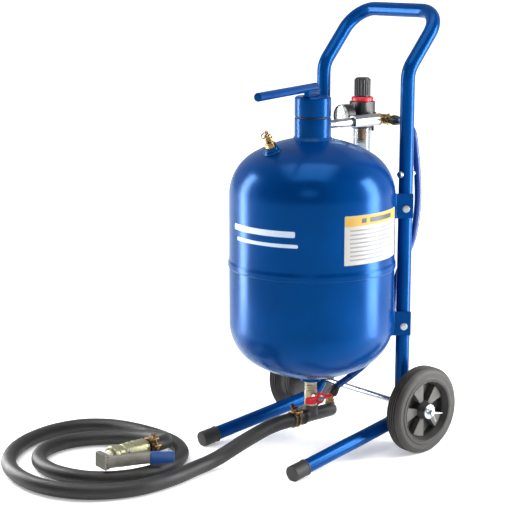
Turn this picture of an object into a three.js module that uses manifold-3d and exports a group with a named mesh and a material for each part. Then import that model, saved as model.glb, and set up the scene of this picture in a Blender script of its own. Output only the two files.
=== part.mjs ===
// Portable pressure-pot abrasive blaster: a welded tank on a two-wheel hand-truck frame, with a
// filter regulator, a quarter-turn media valve, a mixing tee, a blast hose and a shut-off gun.
// Millimetres, +Z up. The tank's axis is vertical; +Y is the wheel side, -Y is the side of the feet.
import * as THREE from 'three';
import { mergeVertices } from 'three/addons/utils/BufferGeometryUtils.js';
import Module from 'manifold-3d';

const wasm = await Module();
wasm.setup();

const DEG = Math.PI / 180;
const TOUCH = 0.3; // gap kept between two pieces that rest on each other

// ---- tank ----
const TANK_R = 140; // outer radius of the cylinder
const TANK_WALL = 2.5;
const SHELL_BOTTOM = 222; // tangent line of the lower head
const SHELL_TOP = 441; // tangent line of the upper head
const HEAD_KNUCKLE = 80; // outer radius of each head's knuckle
const HEAD_CROWN = 198; // outer radius of each head's crown
const SEAM_Z = 320; // lower edge of the lap joint
const LAP_HEIGHT = 11;
const OUTLET_R = 12; // hole at the bottom of the tank
const LAP_PROUD = 2; // how far the lap stands outside the shell
// ---- filler neck and cap ----
const NECK_R = 30.6;
const NECK_BORE_R = 25.5;
const NECK_TOP = 570;
const NECK_DIP = 8; // how far the neck reaches into the tank
const GASKET_T = 2;
const GASKET_INSET = 1.2;
const CAP_H = 33.5;
const CAP_EDGE = 3; // chamfer round the cap's top
const CAP_SPIGOT_H = 9;
const CAP_SPIGOT_GAP = 0.7;
const CAP_LUG = { length: 40, width: 9, height: 8 };
const CAP_BAR_R = 7;
const CAP_BAR_WALL = 1.6;
const CAP_BAR_LENGTH = 204;
const CAP_BAR_BACK = 10; // how far the bar's short end passes the tank's axis
const CAP_BAR_TURN = 21; // degrees, the bar's heading from -Y towards +X
// ---- frame ----
const TUBE_R = 12;
const TUBE_WALL = 1.6;
const TUBE_SIDES = 12;
const FRAME_W = 202.8; // centre to centre of the uprights
const FOOT_SPLAY = 15.1; // how far each foot stands outside its upright
const UPRIGHT_GAP = 5.104933; // from the tank's side to an upright
const FOOT_Y = -149; // front face of the foot caps
const FOOT_CAP_R = 13.6;
const FOOT_CAP_FLAT = 1.6; // worn flat under each foot cap
const FOOT_CAP_LENGTH = 32;
const FOOT_CAP_END = 3;
const LEG_REAR_Z = 49; // where the leg's line meets the upright's
const RAIL_BEND_R = 42;
const RAIL_TOP = 452; // where the handle's tube meets the rail
const SPIGOT_LENGTH = 46;
const HANDLE_KNEE_Z = 647;
const HANDLE_LEAN = 40; // degrees
const HANDLE_SLANT = 124;
const HANDLE_KNEE_R = 42;
const HANDLE_CORNER_R = 46;
const JOINT_BOLT_Z = 475;
// ---- tank brackets ----
const BRACKET_T = 3;
const BRACKET_H = 42;
const BRACKET_Z = [199, 402]; // lower edges
const BRACKET_BOLT_RISE = 16; // bolt above the bracket's lower edge
const BRACKET_OVERHANG = 12; // beyond the tube's axis
const BRACKET_BOLT_R = 3;
// ---- axle and wheels ----
const AXLE_Z = 75; // and the tyre's radius
const AXLE_AHEAD = 1; // the axle's line is this far in front of the uprights' axes
const AXLE_R = 5;
const WHEEL_GAP = 20.1; // from an upright's side to the tyre
const TYRE_W = 32;
const TYRE_SEAT_R = 53;
const HUB_R = 15;
const HUB_GAP = 1.1; // from an upright's side to the hub
const HUB_OUT = 1.5;
const HUB_DISC_T = 8;
const HUB_RIM_T = 3.5;
const SPOKES = 5;
const SPOKE_HALF_ANGLE = 15;
const SPOKE_TURN = 128; // where the first spoke stands, about the axle
const WINDOW_R = [21, 45];
const AXLE_GAP = 0.1; // running fit, radial
const WHEEL_SEGMENTS = 28;
const WASHER_R = 12.5;
const WASHER_T = 2;
const COTTER_R = 1.4;
const COTTER_TURN = 55; // from legs straight down towards legs straight back
// ---- relief valve ----
const RELIEF_AT = [-6.6, -83.2];
const RELIEF_TILT = 22;
const RELIEF_BOSS_R = 13;
const RELIEF_BOSS_H = 9;
// ---- media valve, mixing tee ----
const OUTLET_BOSS_R = 17;
const VALVE_R = 11;
const VALVE_TOP = 116;
const VALVE_BOTTOM = 72;
const VALVE_BORE_R = 5;
const BALL_R = 7.2;
const STEM_R = 2.8;
const VALVE_HANDLE_X = 23;
const TEE_Z = 54;
const TEE_R = 11.5;
const TEE_FRONT = -15;
const TEE_REAR = 57;
const TEE_BORE_R = 6.5;
const AIR_PORT_Y = 46;
const COLLAR_LENGTH = 8;
// ---- air manifold and regulator ----
const AIR_Z = 556; // axis of the nipple, sleeve, tee and regulator ports
const NIPPLE_R = 7;
const NIPPLE_BORE_R = 4.6;
const SLEEVE_R = 10.3;
const SLEEVE_Y = [91, 153];
const AIR_TEE_Y = 165;
const AIR_TEE_R = 8.5;
const AIR_TEE_X = [-30, 24];
const REG_X = -50;
const REG_SIZE = 40;
const REG_BOTTOM = 544;
const REG_TOP = 583;
const REG_COLLAR_R = 18.6;
const REG_COLLAR_H = 8;
const PORT_R = 6.6;
const RING_R = 19;
const RING_H = 8;
const KNOB_R = 14.6;
const KNOB_H = 33;
const KNOB_RIBS = 12;
const KNOB_LIFT_GAP = 4;
const GAUGE_R = 20;
const GAUGE_FRONT = 113.5;
const GAUGE_DEPTH = 20;
const GAUGE_Z = 560;
const GAUGE_ZERO = 45; // degrees; the pointer's rest is at the lower left
const BOWL_R = 15.5;
const BOWL_WALL = 2;
const BOWL_BOTTOM = 470;
// ---- hoses and gun ----
const AIR_HOSE_R = 6;
const HOSE_R = 12.5;
const CLAMP_WIRE_R = 1;
const GUN_AT = [-77, -330, 42]; // middle of the body
const GUN_ROLL = 3; // degrees; the lever's side hangs a little
const GUN_R = 15;
const GUN_TAIL = 34; // from the gun's middle back to the hose
const GUN_FRONT = 40;
const GUN_BORE_R = 6;
const LEVER_T = 2.5;
const LEVER_H = 18;
const LEVER_LINE = [[-5, -62], [20, -62], [40, 2], [60, 42]]; // plate, front corner, knee, rear end
const PIVOT = [21, -16];
const GRIP_LENGTH = 40;

// ---- derived places ----
const FRAME_HALF = FRAME_W / 2;
const UPRIGHT_Y = Math.sqrt((TANK_R + UPRIGHT_GAP + TUBE_R) ** 2 - FRAME_HALF ** 2);
const AXLE_Y = UPRIGHT_Y - AXLE_AHEAD;
const NECK_GASKET_Z = NECK_TOP + TOUCH;
const CAP_Z = NECK_GASKET_Z + GASKET_T + TOUCH;
const CAP_TOP = CAP_Z + CAP_H;
const WHEEL_IN = FRAME_HALF + TUBE_R + WHEEL_GAP;
const WHEEL_OUT = WHEEL_IN + TYRE_W;
const HUB_IN = FRAME_HALF + TUBE_R + HUB_GAP;
const HUB_END = WHEEL_OUT + HUB_OUT;
const AXLE_END = HUB_END + TOUCH + WASHER_T + 8;

// ---- colours ----
const finish = (color, roughness, metalness = 0) =>
  new THREE.MeshStandardMaterial({ color, roughness, metalness });
const BLUE = ['#0a63b8', 0.25];
const BLACK_RUBBER = ['#2b2a2a', 0.75];
const BLACK_PLASTIC = ['#1d1d1f', 0.5];
const ZINC = ['#c9cdd0', 0.3, 0.9];
const BRASS = ['#c8964a', 0.3, 0.9];

// ---- geometry helpers ----
// Welds equal vertices, drops empty faces and turns the faces outwards.
function solid(geometry) {
  const bare = geometry.index ? geometry.toNonIndexed() : geometry.clone();
  bare.deleteAttribute('normal');
  bare.deleteAttribute('uv');
  const welded = mergeVertices(bare, 1e-4);
  const p = welded.getAttribute('position');
  const faces = [];
  let volume = 0;
  const v = [0, 1, 2].map(() => new THREE.Vector3());
  for (let i = 0; i < welded.index.count; i += 3) {
    const t = [0, 1, 2].map((k) => welded.index.getX(i + k));
    if (t[0] === t[1] || t[1] === t[2] || t[2] === t[0]) continue;
    t.forEach((n, k) => v[k].fromBufferAttribute(p, n));
    volume += v[0].dot(v[1].cross(v[2]));
    faces.push(t);
  }
  welded.setIndex(faces.flatMap((t) => (volume < 0 ? [t[0], t[2], t[1]] : t)));
  return welded;
}

const toManifold = (geometry) => {
  const g = solid(geometry);
  return new wasm.Manifold(new wasm.Mesh({
    numProp: 3,
    vertProperties: new Float32Array(g.getAttribute('position').array),
    triVerts: new Uint32Array(g.index.array),
  }));
};

function fromManifold(body) {
  const mesh = body.getMesh();
  const g = new THREE.BufferGeometry();
  g.setAttribute('position', new THREE.BufferAttribute(new Float32Array(mesh.vertProperties), 3));
  g.setIndex(new THREE.BufferAttribute(new Uint32Array(mesh.triVerts), 1));
  return g;
}

const join = (first, ...others) =>
  fromManifold(others.reduce((body, g) => body.add(toManifold(g)), toManifold(first)));
const cut = (first, ...others) =>
  fromManifold(others.reduce((body, g) => body.subtract(toManifold(g)), toManifold(first)));
const keep = (first, other) => fromManifold(toManifold(first).intersect(toManifold(other)));

// Turns an outline of [radius, height] corners about Z.
const turned = (outline, segments = 18) =>
  new THREE.LatheGeometry(
    [...outline, outline[0]].map(([r, h]) => new THREE.Vector2(r, h)), segments,
  ).rotateX(Math.PI / 2);
const rod = (r, z0, z1, segments = 14) => turned([[0, z0], [r, z0], [r, z1], [0, z1]], segments);
const pipe = (rOut, rIn, z0, z1, segments = 14) =>
  turned([[rIn, z0], [rOut, z0], [rOut, z1], [rIn, z1]], segments);
const hexagon = (acrossFlats, z0, z1) =>
  new THREE.CylinderGeometry(acrossFlats / Math.sqrt(3), acrossFlats / Math.sqrt(3), z1 - z0, 6)
    .rotateX(Math.PI / 2).translate(0, 0, (z0 + z1) / 2);
const block = (x, y, z) =>
  new THREE.BoxGeometry(x[1] - x[0], y[1] - y[0], z[1] - z[0])
    .translate((x[0] + x[1]) / 2, (y[0] + y[1]) / 2, (z[0] + z[1]) / 2);

// Lays a piece made along Z along another direction, from a start point.
function aimed(geometry, direction, start = [0, 0, 0]) {
  const turn = new THREE.Quaternion().setFromUnitVectors(
    new THREE.Vector3(0, 0, 1), new THREE.Vector3(...direction).normalize());
  return geometry.applyQuaternion(turn).translate(...start);
}

const circle = (r, sides) => new THREE.Shape(
  Array.from({ length: sides }, (_, i) => new THREE.Vector2(
    r * Math.cos((2 * Math.PI * i) / sides), r * Math.sin((2 * Math.PI * i) / sides))));

function roundedBox(width, height, radius) {
  const [w, h] = [width / 2 - radius, height / 2 - radius];
  const s = new THREE.Shape();
  s.absarc(w, h, radius, 0, Math.PI / 2);
  s.absarc(-w, h, radius, Math.PI / 2, Math.PI);
  s.absarc(-w, -h, radius, Math.PI, 1.5 * Math.PI);
  s.absarc(w, -h, radius, 1.5 * Math.PI, 2 * Math.PI);
  return s;
}

const extrude = (shape, depth, curveSegments = 6) =>
  new THREE.ExtrudeGeometry(shape, { depth, bevelEnabled: false, curveSegments });

// The centre line of a bent tube: straight runs joined by arcs, with stations only where it bends.
class BentLine extends THREE.Curve {
  constructor(corners, radii, arcSteps = 5) {
    super();
    const points = corners.map((c) => new THREE.Vector3(...c));
    this.stations = [];
    const last = points.length - 1;
    const heading = (i) => points[i + 1].clone().sub(points[i]).normalize();
    this.stations.push({ point: points[0], tangent: heading(0) });
    for (let i = 1; i < last; i += 1) {
      const [a, b] = [heading(i - 1), heading(i)];
      const turn = a.angleTo(b);
      const reach = radii[i - 1] * Math.tan(turn / 2);
      const start = points[i].clone().addScaledVector(a, -reach);
      const axis = a.clone().cross(b).normalize();
      const centre = start.clone().addScaledVector(axis.clone().cross(a), radii[i - 1]);
      for (let k = 0; k <= arcSteps; k += 1) {
        const angle = (turn * k) / arcSteps;
        this.stations.push({
          point: start.clone().sub(centre).applyAxisAngle(axis, angle).add(centre),
          tangent: a.clone().applyAxisAngle(axis, angle),
        });
      }
    }
    this.stations.push({ point: points[last], tangent: heading(last - 1) });
  }
  get steps() { return this.stations.length - 1; }
  station(t) { return this.stations[Math.round(t * this.steps)]; }
  getUtoTmapping(u) { return u; }
  getPoint(t) { return this.station(t).point.clone(); }
  getTangent(t) { return this.station(t).tangent.clone(); }
}

const sweep = (section, path, steps) =>
  new THREE.ExtrudeGeometry(section, { extrudePath: path, steps, bevelEnabled: false });

function ring(rOut, rIn, sides) {
  const s = circle(rOut, sides);
  s.holes.push(circle(rIn, sides));
  return s;
}

// ---- the assembly ----
const blaster = new THREE.Group();
const place = (parent, name, geometry, [color, roughness, metalness]) => {
  const mesh = new THREE.Mesh(solid(geometry), finish(color, roughness, metalness));
  mesh.name = name;
  parent.add(mesh);
  return mesh;
};
const add = (name, geometry, look) => place(blaster, name, geometry, look);

// ---- tank ----
// Corners of a head's outline from its tangent line to radius rStop, offset inwards by wall.
function headOutline(rStop, wall, steps = 5) {
  const depth = Math.sqrt((HEAD_CROWN - HEAD_KNUCKLE) ** 2 - (TANK_R - HEAD_KNUCKLE) ** 2);
  const meet = Math.atan2(TANK_R - HEAD_KNUCKLE, depth);
  const stop = Math.asin(rStop / (HEAD_CROWN - wall));
  const corners = [];
  for (let i = 0; i <= steps; i += 1) {
    const a = ((Math.PI / 2 - meet) * i) / steps;
    const r = HEAD_KNUCKLE - wall;
    corners.push([TANK_R - HEAD_KNUCKLE + r * Math.cos(a), r * Math.sin(a)]);
  }
  for (let i = 1; i <= 2; i += 1) {
    const a = meet + ((stop - meet) * i) / 2;
    corners.push([(HEAD_CROWN - wall) * Math.sin(a), (HEAD_CROWN - wall) * Math.cos(a) - depth]);
  }
  return corners;
}
const headHeight = (r, wall = 0) => headOutline(r, wall).at(-1)[1];
// Outer radius of the tank at height z, for pieces that follow its side.
function tankRadius(z) {
  const into = Math.max(z - SHELL_TOP, SHELL_BOTTOM - z, 0);
  return TANK_R - HEAD_KNUCKLE + Math.sqrt(HEAD_KNUCKLE ** 2 - into ** 2);
}
const tankSegments = 36;

function upperShell() {
  const hole = NECK_R + TOUCH;
  const skirt = TANK_R + TOUCH;
  const outer = headOutline(hole, 0).map(([r, h]) => [r, SHELL_TOP + h]);
  const inner = headOutline(hole, TANK_WALL).map(([r, h]) => [r, SHELL_TOP + h]);
  const body = turned([
    [TANK_R + LAP_PROUD, SEAM_Z + TOUCH], [TANK_R + LAP_PROUD, SEAM_Z + LAP_HEIGHT],
    [TANK_R, SEAM_Z + LAP_HEIGHT + LAP_PROUD], ...outer, ...inner.reverse(),
    [TANK_R - TANK_WALL, SEAM_Z + LAP_HEIGHT + TANK_WALL], [skirt, SEAM_Z + LAP_HEIGHT],
    [skirt, SEAM_Z + TOUCH],
  ], tankSegments);
  return cut(body, reliefTurn(rod(4, -30, 30, 10)));
}

function lowerShell() {
  const outer = headOutline(OUTLET_R, 0).map(([r, h]) => [r, SHELL_BOTTOM - h]);
  const inner = headOutline(OUTLET_R, TANK_WALL).map(([r, h]) => [r, SHELL_BOTTOM - h]);
  const top = SEAM_Z + LAP_HEIGHT - TOUCH;
  return turned([
    [TANK_R, top], [TANK_R - TANK_WALL, top], ...inner, ...outer.reverse(),
  ], tankSegments);
}

// Places a piece made along Z on the upper head, where the relief valve screws in.
function reliefTurn(geometry) {
  const [x, y] = RELIEF_AT;
  return geometry.rotateX(RELIEF_TILT * DEG)
    .translate(x, y, SHELL_TOP + headHeight(Math.hypot(x, y)));
}
// A head's outer surface as a solid, grown a little, for cutting pieces that sit on it.
function headSolid(hole, tangent, up) {
  const corners = headOutline(hole, -TOUCH).map(([r, h]) => [r, tangent + up * h]);
  return turned([...corners, [0, corners.at(-1)[1]], [0, tangent]], tankSegments);
}

const neckPort = aimed(rod(NIPPLE_R + TOUCH, 0, 60, 14), [0, 1, 0], [0, 0, AIR_Z]);
add('filler_neck', cut(
  pipe(NECK_R, NECK_BORE_R, SHELL_TOP + headHeight(NECK_R) - NECK_DIP, NECK_TOP, 20), neckPort), BLUE);
add('cap_gasket', pipe(NECK_R - GASKET_INSET, NECK_BORE_R + TOUCH, NECK_GASKET_Z,
  NECK_GASKET_Z + GASKET_T, 32), BLACK_RUBBER);

// ---- filler cap, opened by its cross bar ----
const spigotR = NECK_BORE_R - CAP_SPIGOT_GAP;
const spigotZ = CAP_Z - CAP_SPIGOT_H;
add('filler_cap', turned([
  [0, CAP_TOP - 8], [spigotR - 5, CAP_TOP - 8], [spigotR - 5, spigotZ], [spigotR, spigotZ],
  [spigotR, CAP_Z], [NECK_R, CAP_Z], [NECK_R, CAP_TOP - CAP_EDGE], [NECK_R - CAP_EDGE, CAP_TOP],
  [0, CAP_TOP],
], 20), BLUE);
const capBar = new THREE.Group();
capBar.rotation.z = CAP_BAR_TURN * DEG;
blaster.add(capBar);
const lugTop = CAP_TOP + TOUCH + CAP_LUG.height;
const barZ = lugTop + CAP_BAR_R - 1;
const barAlong = (geometry) => aimed(geometry, [0, -1, 0], [0, CAP_BAR_BACK, barZ]);
const capLug = block([-CAP_LUG.width / 2, CAP_LUG.width / 2],
  [-CAP_LUG.length + CAP_BAR_BACK + 5, CAP_BAR_BACK + 5], [CAP_TOP + TOUCH, lugTop + 3]);
place(capBar, 'cap_handle_bar', cut(
  join(capLug, barAlong(rod(CAP_BAR_R, 0, CAP_BAR_LENGTH, 12))),
  barAlong(rod(CAP_BAR_R - CAP_BAR_WALL, -1, CAP_BAR_LENGTH + 1, 12))), BLUE);

// ---- relief valve ----
add('relief_boss', cut(reliefTurn(pipe(RELIEF_BOSS_R, 6.8, -8, RELIEF_BOSS_H, 16)), headSolid(NECK_R + TOUCH, SHELL_TOP, 1)),
  BLUE);
const reliefBody = join(
  pipe(6.5, 4.2, 0, 12, 12), cut(hexagon(16, RELIEF_BOSS_H + TOUCH, 16), rod(4.2, 0, 20, 12)),
  turned([[2.4, 15], [7, 15], [7, 24], [5.6, 27], [5.6, 31], [2.4, 31]], 12));
add('relief_valve_body', reliefTurn(reliefBody), BRASS);
const reliefEye = cut(block([-1.5, 1.5], [-3, 3], [31, 39]), aimed(rod(1.8, -5, 5, 10), [1, 0, 0], [0, 0, 36]));
add('relief_stem', reliefTurn(join(rod(2, 14, 32, 10), reliefEye)), BRASS);
const PULL_RING_R = 6.5;
add('relief_pull_ring', reliefTurn(
  new THREE.TorusGeometry(PULL_RING_R, 0.9, 6, 18).rotateX(25 * DEG)
    .translate(0, -PULL_RING_R * Math.cos(25 * DEG), 36 - PULL_RING_R * Math.sin(25 * DEG))), ZINC);

// ---- frame tubes ----
const footAxisZ = FOOT_CAP_R - FOOT_CAP_FLAT;
const footAt = (side) => new THREE.Vector3(side * (FRAME_HALF + FOOT_SPLAY), FOOT_Y, footAxisZ);
const legRear = (side) => new THREE.Vector3(side * FRAME_HALF, UPRIGHT_Y, LEG_REAR_Z);
const legHeading = (side) => legRear(side).sub(footAt(side)).normalize();
const railCorners = (side) => [
  footAt(side).addScaledVector(legHeading(side), FOOT_CAP_END + TOUCH).toArray(),
  legRear(side).toArray(),
  [side * FRAME_HALF, UPRIGHT_Y, RAIL_TOP],
];
const axleHole = aimed(rod(AXLE_R + TOUCH, -AXLE_END, AXLE_END, 12), [1, 0, 0], [0, AXLE_Y, AXLE_Z]);
// The bracket bolts point square to the line from the tank's axis to the upright.
const radial = (side) => new THREE.Vector3(side * FRAME_HALF, UPRIGHT_Y, 0).normalize();
const square = (side) => new THREE.Vector3(side * radial(side).y, -Math.abs(radial(side).x), 0);
const bracketBoltZ = BRACKET_Z.map((z) => z + BRACKET_BOLT_RISE);
const boltHole = (side, z, r) => aimed(rod(r + TOUCH, -2 * TUBE_R, 2 * TUBE_R, 10),
  square(side).toArray(), [side * FRAME_HALF, UPRIGHT_Y, z]);
const jointHole = (side, r) => aimed(rod(r, -2 * TUBE_R, 2 * TUBE_R, 10), [0, 1, 0],
  [side * FRAME_HALF, UPRIGHT_Y, JOINT_BOLT_Z]);

for (const [side, label] of [[-1, 'left'], [1, 'right']]) {
  const path = new BentLine(railCorners(side), [RAIL_BEND_R]);
  const tube = sweep(ring(TUBE_R, TUBE_R - TUBE_WALL, TUBE_SIDES), path, path.steps);
  const spigotOut = TUBE_R - TUBE_WALL - TOUCH;
  const spigotIn = spigotOut - TUBE_WALL;
  const spigot = pipe(spigotOut, spigotIn, RAIL_TOP - 1, RAIL_TOP + SPIGOT_LENGTH, TUBE_SIDES);
  const shoulder = pipe(TUBE_R - TUBE_WALL / 2, spigotIn, RAIL_TOP - 6, RAIL_TOP, TUBE_SIDES);
  const seat = [side * FRAME_HALF, UPRIGHT_Y, 0];
  add(`${label}_rail`, cut(
    join(tube, spigot.translate(...seat), shoulder.translate(...seat)),
    axleHole, ...bracketBoltZ.map((z) => boltHole(side, z, BRACKET_BOLT_R)), jointHole(side, 3 + TOUCH)),
  BLUE);
  const cap = aimed(turned([
    [0, 0], [FOOT_CAP_R - 1.5, 0], [FOOT_CAP_R, 1.5], [FOOT_CAP_R, FOOT_CAP_LENGTH],
    [TUBE_R + TOUCH, FOOT_CAP_LENGTH], [TUBE_R + TOUCH, FOOT_CAP_END], [0, FOOT_CAP_END],
  ], 16), legHeading(side).toArray(), footAt(side).toArray());
  add(`${label}_foot_cap`, keep(cap, block([-200, 200], [-300, 0], [0, 100])), BLACK_RUBBER);
}

const handleTop = HANDLE_KNEE_Z + HANDLE_SLANT * Math.cos(HANDLE_LEAN * DEG);
const handleBarY = UPRIGHT_Y + HANDLE_SLANT * Math.sin(HANDLE_LEAN * DEG);
const handlePath = new BentLine([
  [-FRAME_HALF, UPRIGHT_Y, RAIL_TOP + TOUCH], [-FRAME_HALF, UPRIGHT_Y, HANDLE_KNEE_Z],
  [-FRAME_HALF, handleBarY, handleTop], [FRAME_HALF, handleBarY, handleTop],
  [FRAME_HALF, UPRIGHT_Y, HANDLE_KNEE_Z], [FRAME_HALF, UPRIGHT_Y, RAIL_TOP + TOUCH],
], [HANDLE_KNEE_R, HANDLE_CORNER_R, HANDLE_CORNER_R, HANDLE_KNEE_R]);
add('handle_loop', cut(
  sweep(ring(TUBE_R, TUBE_R - TUBE_WALL, TUBE_SIDES), handlePath, handlePath.steps),
  jointHole(-1, 3 + TOUCH), jointHole(1, 3 + TOUCH)), BLUE);

// ---- fasteners ----
// A bolt along Z: its head sits under grip[0], its nut starts at grip[1].
const bolt = (r, flats, head, grip) => join(
  hexagon(flats, grip[0] - head, grip[0]), rod(r, grip[0] - 0.5, grip[1] + head * 1.4, 10),
  hexagon(flats, grip[1], grip[1] + head * 1.1));
const atUpright = (geometry, side, z, direction) =>
  aimed(geometry, direction, [side * FRAME_HALF, UPRIGHT_Y, z]);
for (const [side, label] of [[-1, 'left'], [1, 'right']]) {
  // The bolt's own axis runs from head to nut, so it points away from the bracket.
  for (const [i, level] of ['lower', 'upper'].entries()) {
    add(`bracket_bolt_${level}_${label}`, atUpright(
      bolt(BRACKET_BOLT_R, 10, 4, [-TUBE_R - BRACKET_T - 2 * TOUCH, TUBE_R + TOUCH]),
      side, bracketBoltZ[i], square(side).negate().toArray()), ZINC);
  }
  add(`handle_bolt_${label}`, atUpright(
    bolt(3, 10, 4, [-TUBE_R - TOUCH, TUBE_R + TOUCH]), side, JOINT_BOLT_Z, [0, 1, 0]), ZINC);
}

// ---- tank brackets: flat plates welded square to the tank, one beside each upright ----
function bracket(side, z0) {
  const [u, n] = [radial(side), square(side)];
  const near = TUBE_R + TOUCH;
  const reach = Math.hypot(FRAME_HALF, UPRIGHT_Y);
  const inner = (z) => Math.sqrt((tankRadius(z) - TANK_WALL / 2) ** 2 - near ** 2);
  const heights = [0, 1, 2, 3, 4].map((i) => z0 + (BRACKET_H * i) / 4);
  const outline = [
    ...heights.map((z) => new THREE.Vector2(inner(z), z)),
    new THREE.Vector2(reach + BRACKET_OVERHANG, z0 + BRACKET_H),
    new THREE.Vector2(reach + BRACKET_OVERHANG, z0),
  ];
  const plate = extrude(new THREE.Shape(outline), BRACKET_T);
  const up = new THREE.Vector3(0, 0, 1);
  const basis = new THREE.Matrix4().makeBasis(u, up, u.clone().cross(up));
  const along = u.clone().cross(up).dot(n) > 0 ? near : -near - BRACKET_T;
  plate.translate(0, 0, along).applyMatrix4(basis);
  return cut(plate, boltHole(side, z0 + BRACKET_BOLT_RISE, BRACKET_BOLT_R));
}
const withBrackets = (shell, z) => join(shell, bracket(-1, z), bracket(1, z));
add('tank_lower_shell', withBrackets(lowerShell(), BRACKET_Z[0]), BLUE);
add('tank_upper_shell', withBrackets(upperShell(), BRACKET_Z[1]), BLUE);

// ---- axle and wheels ----
const alongX = (geometry, side = 1) => aimed(geometry, [side, 0, 0], [0, AXLE_Y, AXLE_Z]);
const cotterX = HUB_END + TOUCH + WASHER_T + 3.4;
const cotterHole = (x) => rod(COTTER_R + TOUCH, -10, 10, 8).rotateX(COTTER_TURN * DEG)
  .translate(x, AXLE_Y, AXLE_Z);
add('axle', cut(alongX(turned([
  [0, -AXLE_END], [AXLE_R - 1, -AXLE_END], [AXLE_R, 1 - AXLE_END], [AXLE_R, AXLE_END - 1],
  [AXLE_R - 1, AXLE_END], [0, AXLE_END],
], 14)), cotterHole(-cotterX), cotterHole(cotterX)), ZINC);

// A split pin: a loop above the axle and two legs bent apart below it.
const cotter = (side) => {
  const leg = (out, tip) => sweep(circle(COTTER_R / 1.6, 6), new BentLine([
    [out, 0, 9], [out, 0, -7], tip,
  ], [3], 2), 4);
  const eye = new THREE.TorusGeometry(2.6, 0.9, 6, 12).rotateX(Math.PI / 2).translate(0, 0, 10.5);
  const pin = join(leg(-0.5, [-9, 0, -18]), leg(0.5, [8, 0, -23]), eye);
  return pin.rotateZ(90 * DEG).rotateX(COTTER_TURN * DEG).translate(side * cotterX, AXLE_Y, AXLE_Z);
};
// Outline of the tyre: a barrel with four shallow grooves round the tread.
function tyreOutline() {
  const outline = [[TYRE_SEAT_R + TOUCH, WHEEL_IN], [AXLE_Z - 9, WHEEL_IN], [AXLE_Z - 3, WHEEL_IN + 4]];
  const tread = [WHEEL_IN + 7, WHEEL_OUT - 7];
  const grooves = 3;
  for (let i = 0; i < grooves; i += 1) {
    const x = tread[0] + ((tread[1] - tread[0]) * (i + 0.5)) / grooves;
    outline.push([AXLE_Z, x - 1.6], [AXLE_Z - 1.2, x - 0.8], [AXLE_Z - 1.2, x + 0.8], [AXLE_Z, x + 1.6]);
  }
  outline.push([AXLE_Z - 3, WHEEL_OUT - 4], [AXLE_Z - 9, WHEEL_OUT], [TYRE_SEAT_R + TOUCH, WHEEL_OUT]);
  return outline;
}

function wheelHub() {
  const disc = [WHEEL_OUT - 4 - HUB_DISC_T, WHEEL_OUT - 4];
  const rim = TYRE_SEAT_R - HUB_RIM_T;
  const body = turned([
    [AXLE_R + AXLE_GAP, HUB_IN], [HUB_R, HUB_IN], [HUB_R, disc[0]],
    [rim, disc[0]], [rim, WHEEL_IN], [TYRE_SEAT_R, WHEEL_IN], [TYRE_SEAT_R, WHEEL_OUT], [rim, WHEEL_OUT],
    [rim - 2, disc[1]], [HUB_R + 2, disc[1]], [HUB_R, HUB_END], [AXLE_R + AXLE_GAP, HUB_END],
  ], WHEEL_SEGMENTS);
  const half = Math.PI / SPOKES - SPOKE_HALF_ANGLE * DEG;
  const windows = Array.from({ length: SPOKES }, (_, i) => {
    const middle = SPOKE_TURN * DEG + ((2 * i + 1) * Math.PI) / SPOKES;
    const s = new THREE.Shape();
    s.absarc(0, 0, WINDOW_R[1], middle - half, middle + half);
    s.absarc(0, 0, WINDOW_R[0], middle + half * 0.8, middle - half * 0.8, true);
    return extrude(s, 3 * HUB_DISC_T, 4).translate(0, 0, disc[0] - HUB_DISC_T);
  });
  return cut(body, ...windows);
}

for (const [side, label] of [[-1, 'left'], [1, 'right']]) {
  add(`${label}_wheel_hub`, alongX(wheelHub(), side), BLACK_PLASTIC);
  add(`${label}_tyre`, alongX(turned(tyreOutline(), WHEEL_SEGMENTS), side), BLACK_RUBBER);
  add(`${label}_washer`, alongX(
    pipe(WASHER_R, AXLE_R + TOUCH, HUB_END + TOUCH, HUB_END + TOUCH + WASHER_T, 14), side), ZINC);
  add(`${label}_cotter_pin`, cotter(side), ZINC);
}

// ---- media valve and mixing tee, below the tank ----
const outletTop = SHELL_BOTTOM - headHeight(OUTLET_BOSS_R);
add('outlet_boss', cut(
  pipe(OUTLET_BOSS_R, VALVE_BORE_R + 1.5, VALVE_TOP + TOUCH, outletTop + 8, 18),
  headSolid(OUTLET_R, SHELL_BOTTOM, -1)), BLUE);
const ballZ = (VALVE_TOP + VALVE_BOTTOM) / 2 - 4;
const ballSeat = BALL_R + TOUCH;
const seatHalf = Math.sqrt(ballSeat ** 2 - VALVE_BORE_R ** 2);
const cavity = Array.from({ length: 5 }, (_, i) => {
  const h = -seatHalf + (2 * seatHalf * i) / 4;
  return [Math.sqrt(ballSeat ** 2 - h ** 2), ballZ + h];
});
const valveOutline = [
  ...cavity.slice().reverse(), [VALVE_BORE_R, VALVE_BOTTOM + TOUCH],
  [VALVE_R, VALVE_BOTTOM + TOUCH], [VALVE_R, 80], [VALVE_R - 1.5, 81], [VALVE_R - 1.5, 83],
  [VALVE_R, 84], [VALVE_R, 100], [VALVE_R - 1.5, 101], [VALVE_R - 1.5, 103], [VALVE_R, 104],
  [VALVE_R, VALVE_TOP], [VALVE_BORE_R, VALVE_TOP],
];
const stemAt = (geometry) => aimed(geometry, [1, 0, 0], [0, 0, ballZ]);
add('media_valve_body', cut(
  join(turned(valveOutline, 16), cut(stemAt(rod(6.5, 8, 14)), rod(ballSeat, 60, 120, 16))),
  stemAt(rod(STEM_R + TOUCH, 0, 30, 10))), ZINC);
add('media_valve_ball', cut(
  join(new THREE.SphereGeometry(BALL_R, 16, 10), aimed(rod(STEM_R, 4, VALVE_HANDLE_X + 9, 10), [1, 0, 0])),
  aimed(rod(VALVE_BORE_R - 0.5, -20, 20, 12), [0, 1, 0])).translate(0, 0, ballZ), ZINC);
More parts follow.
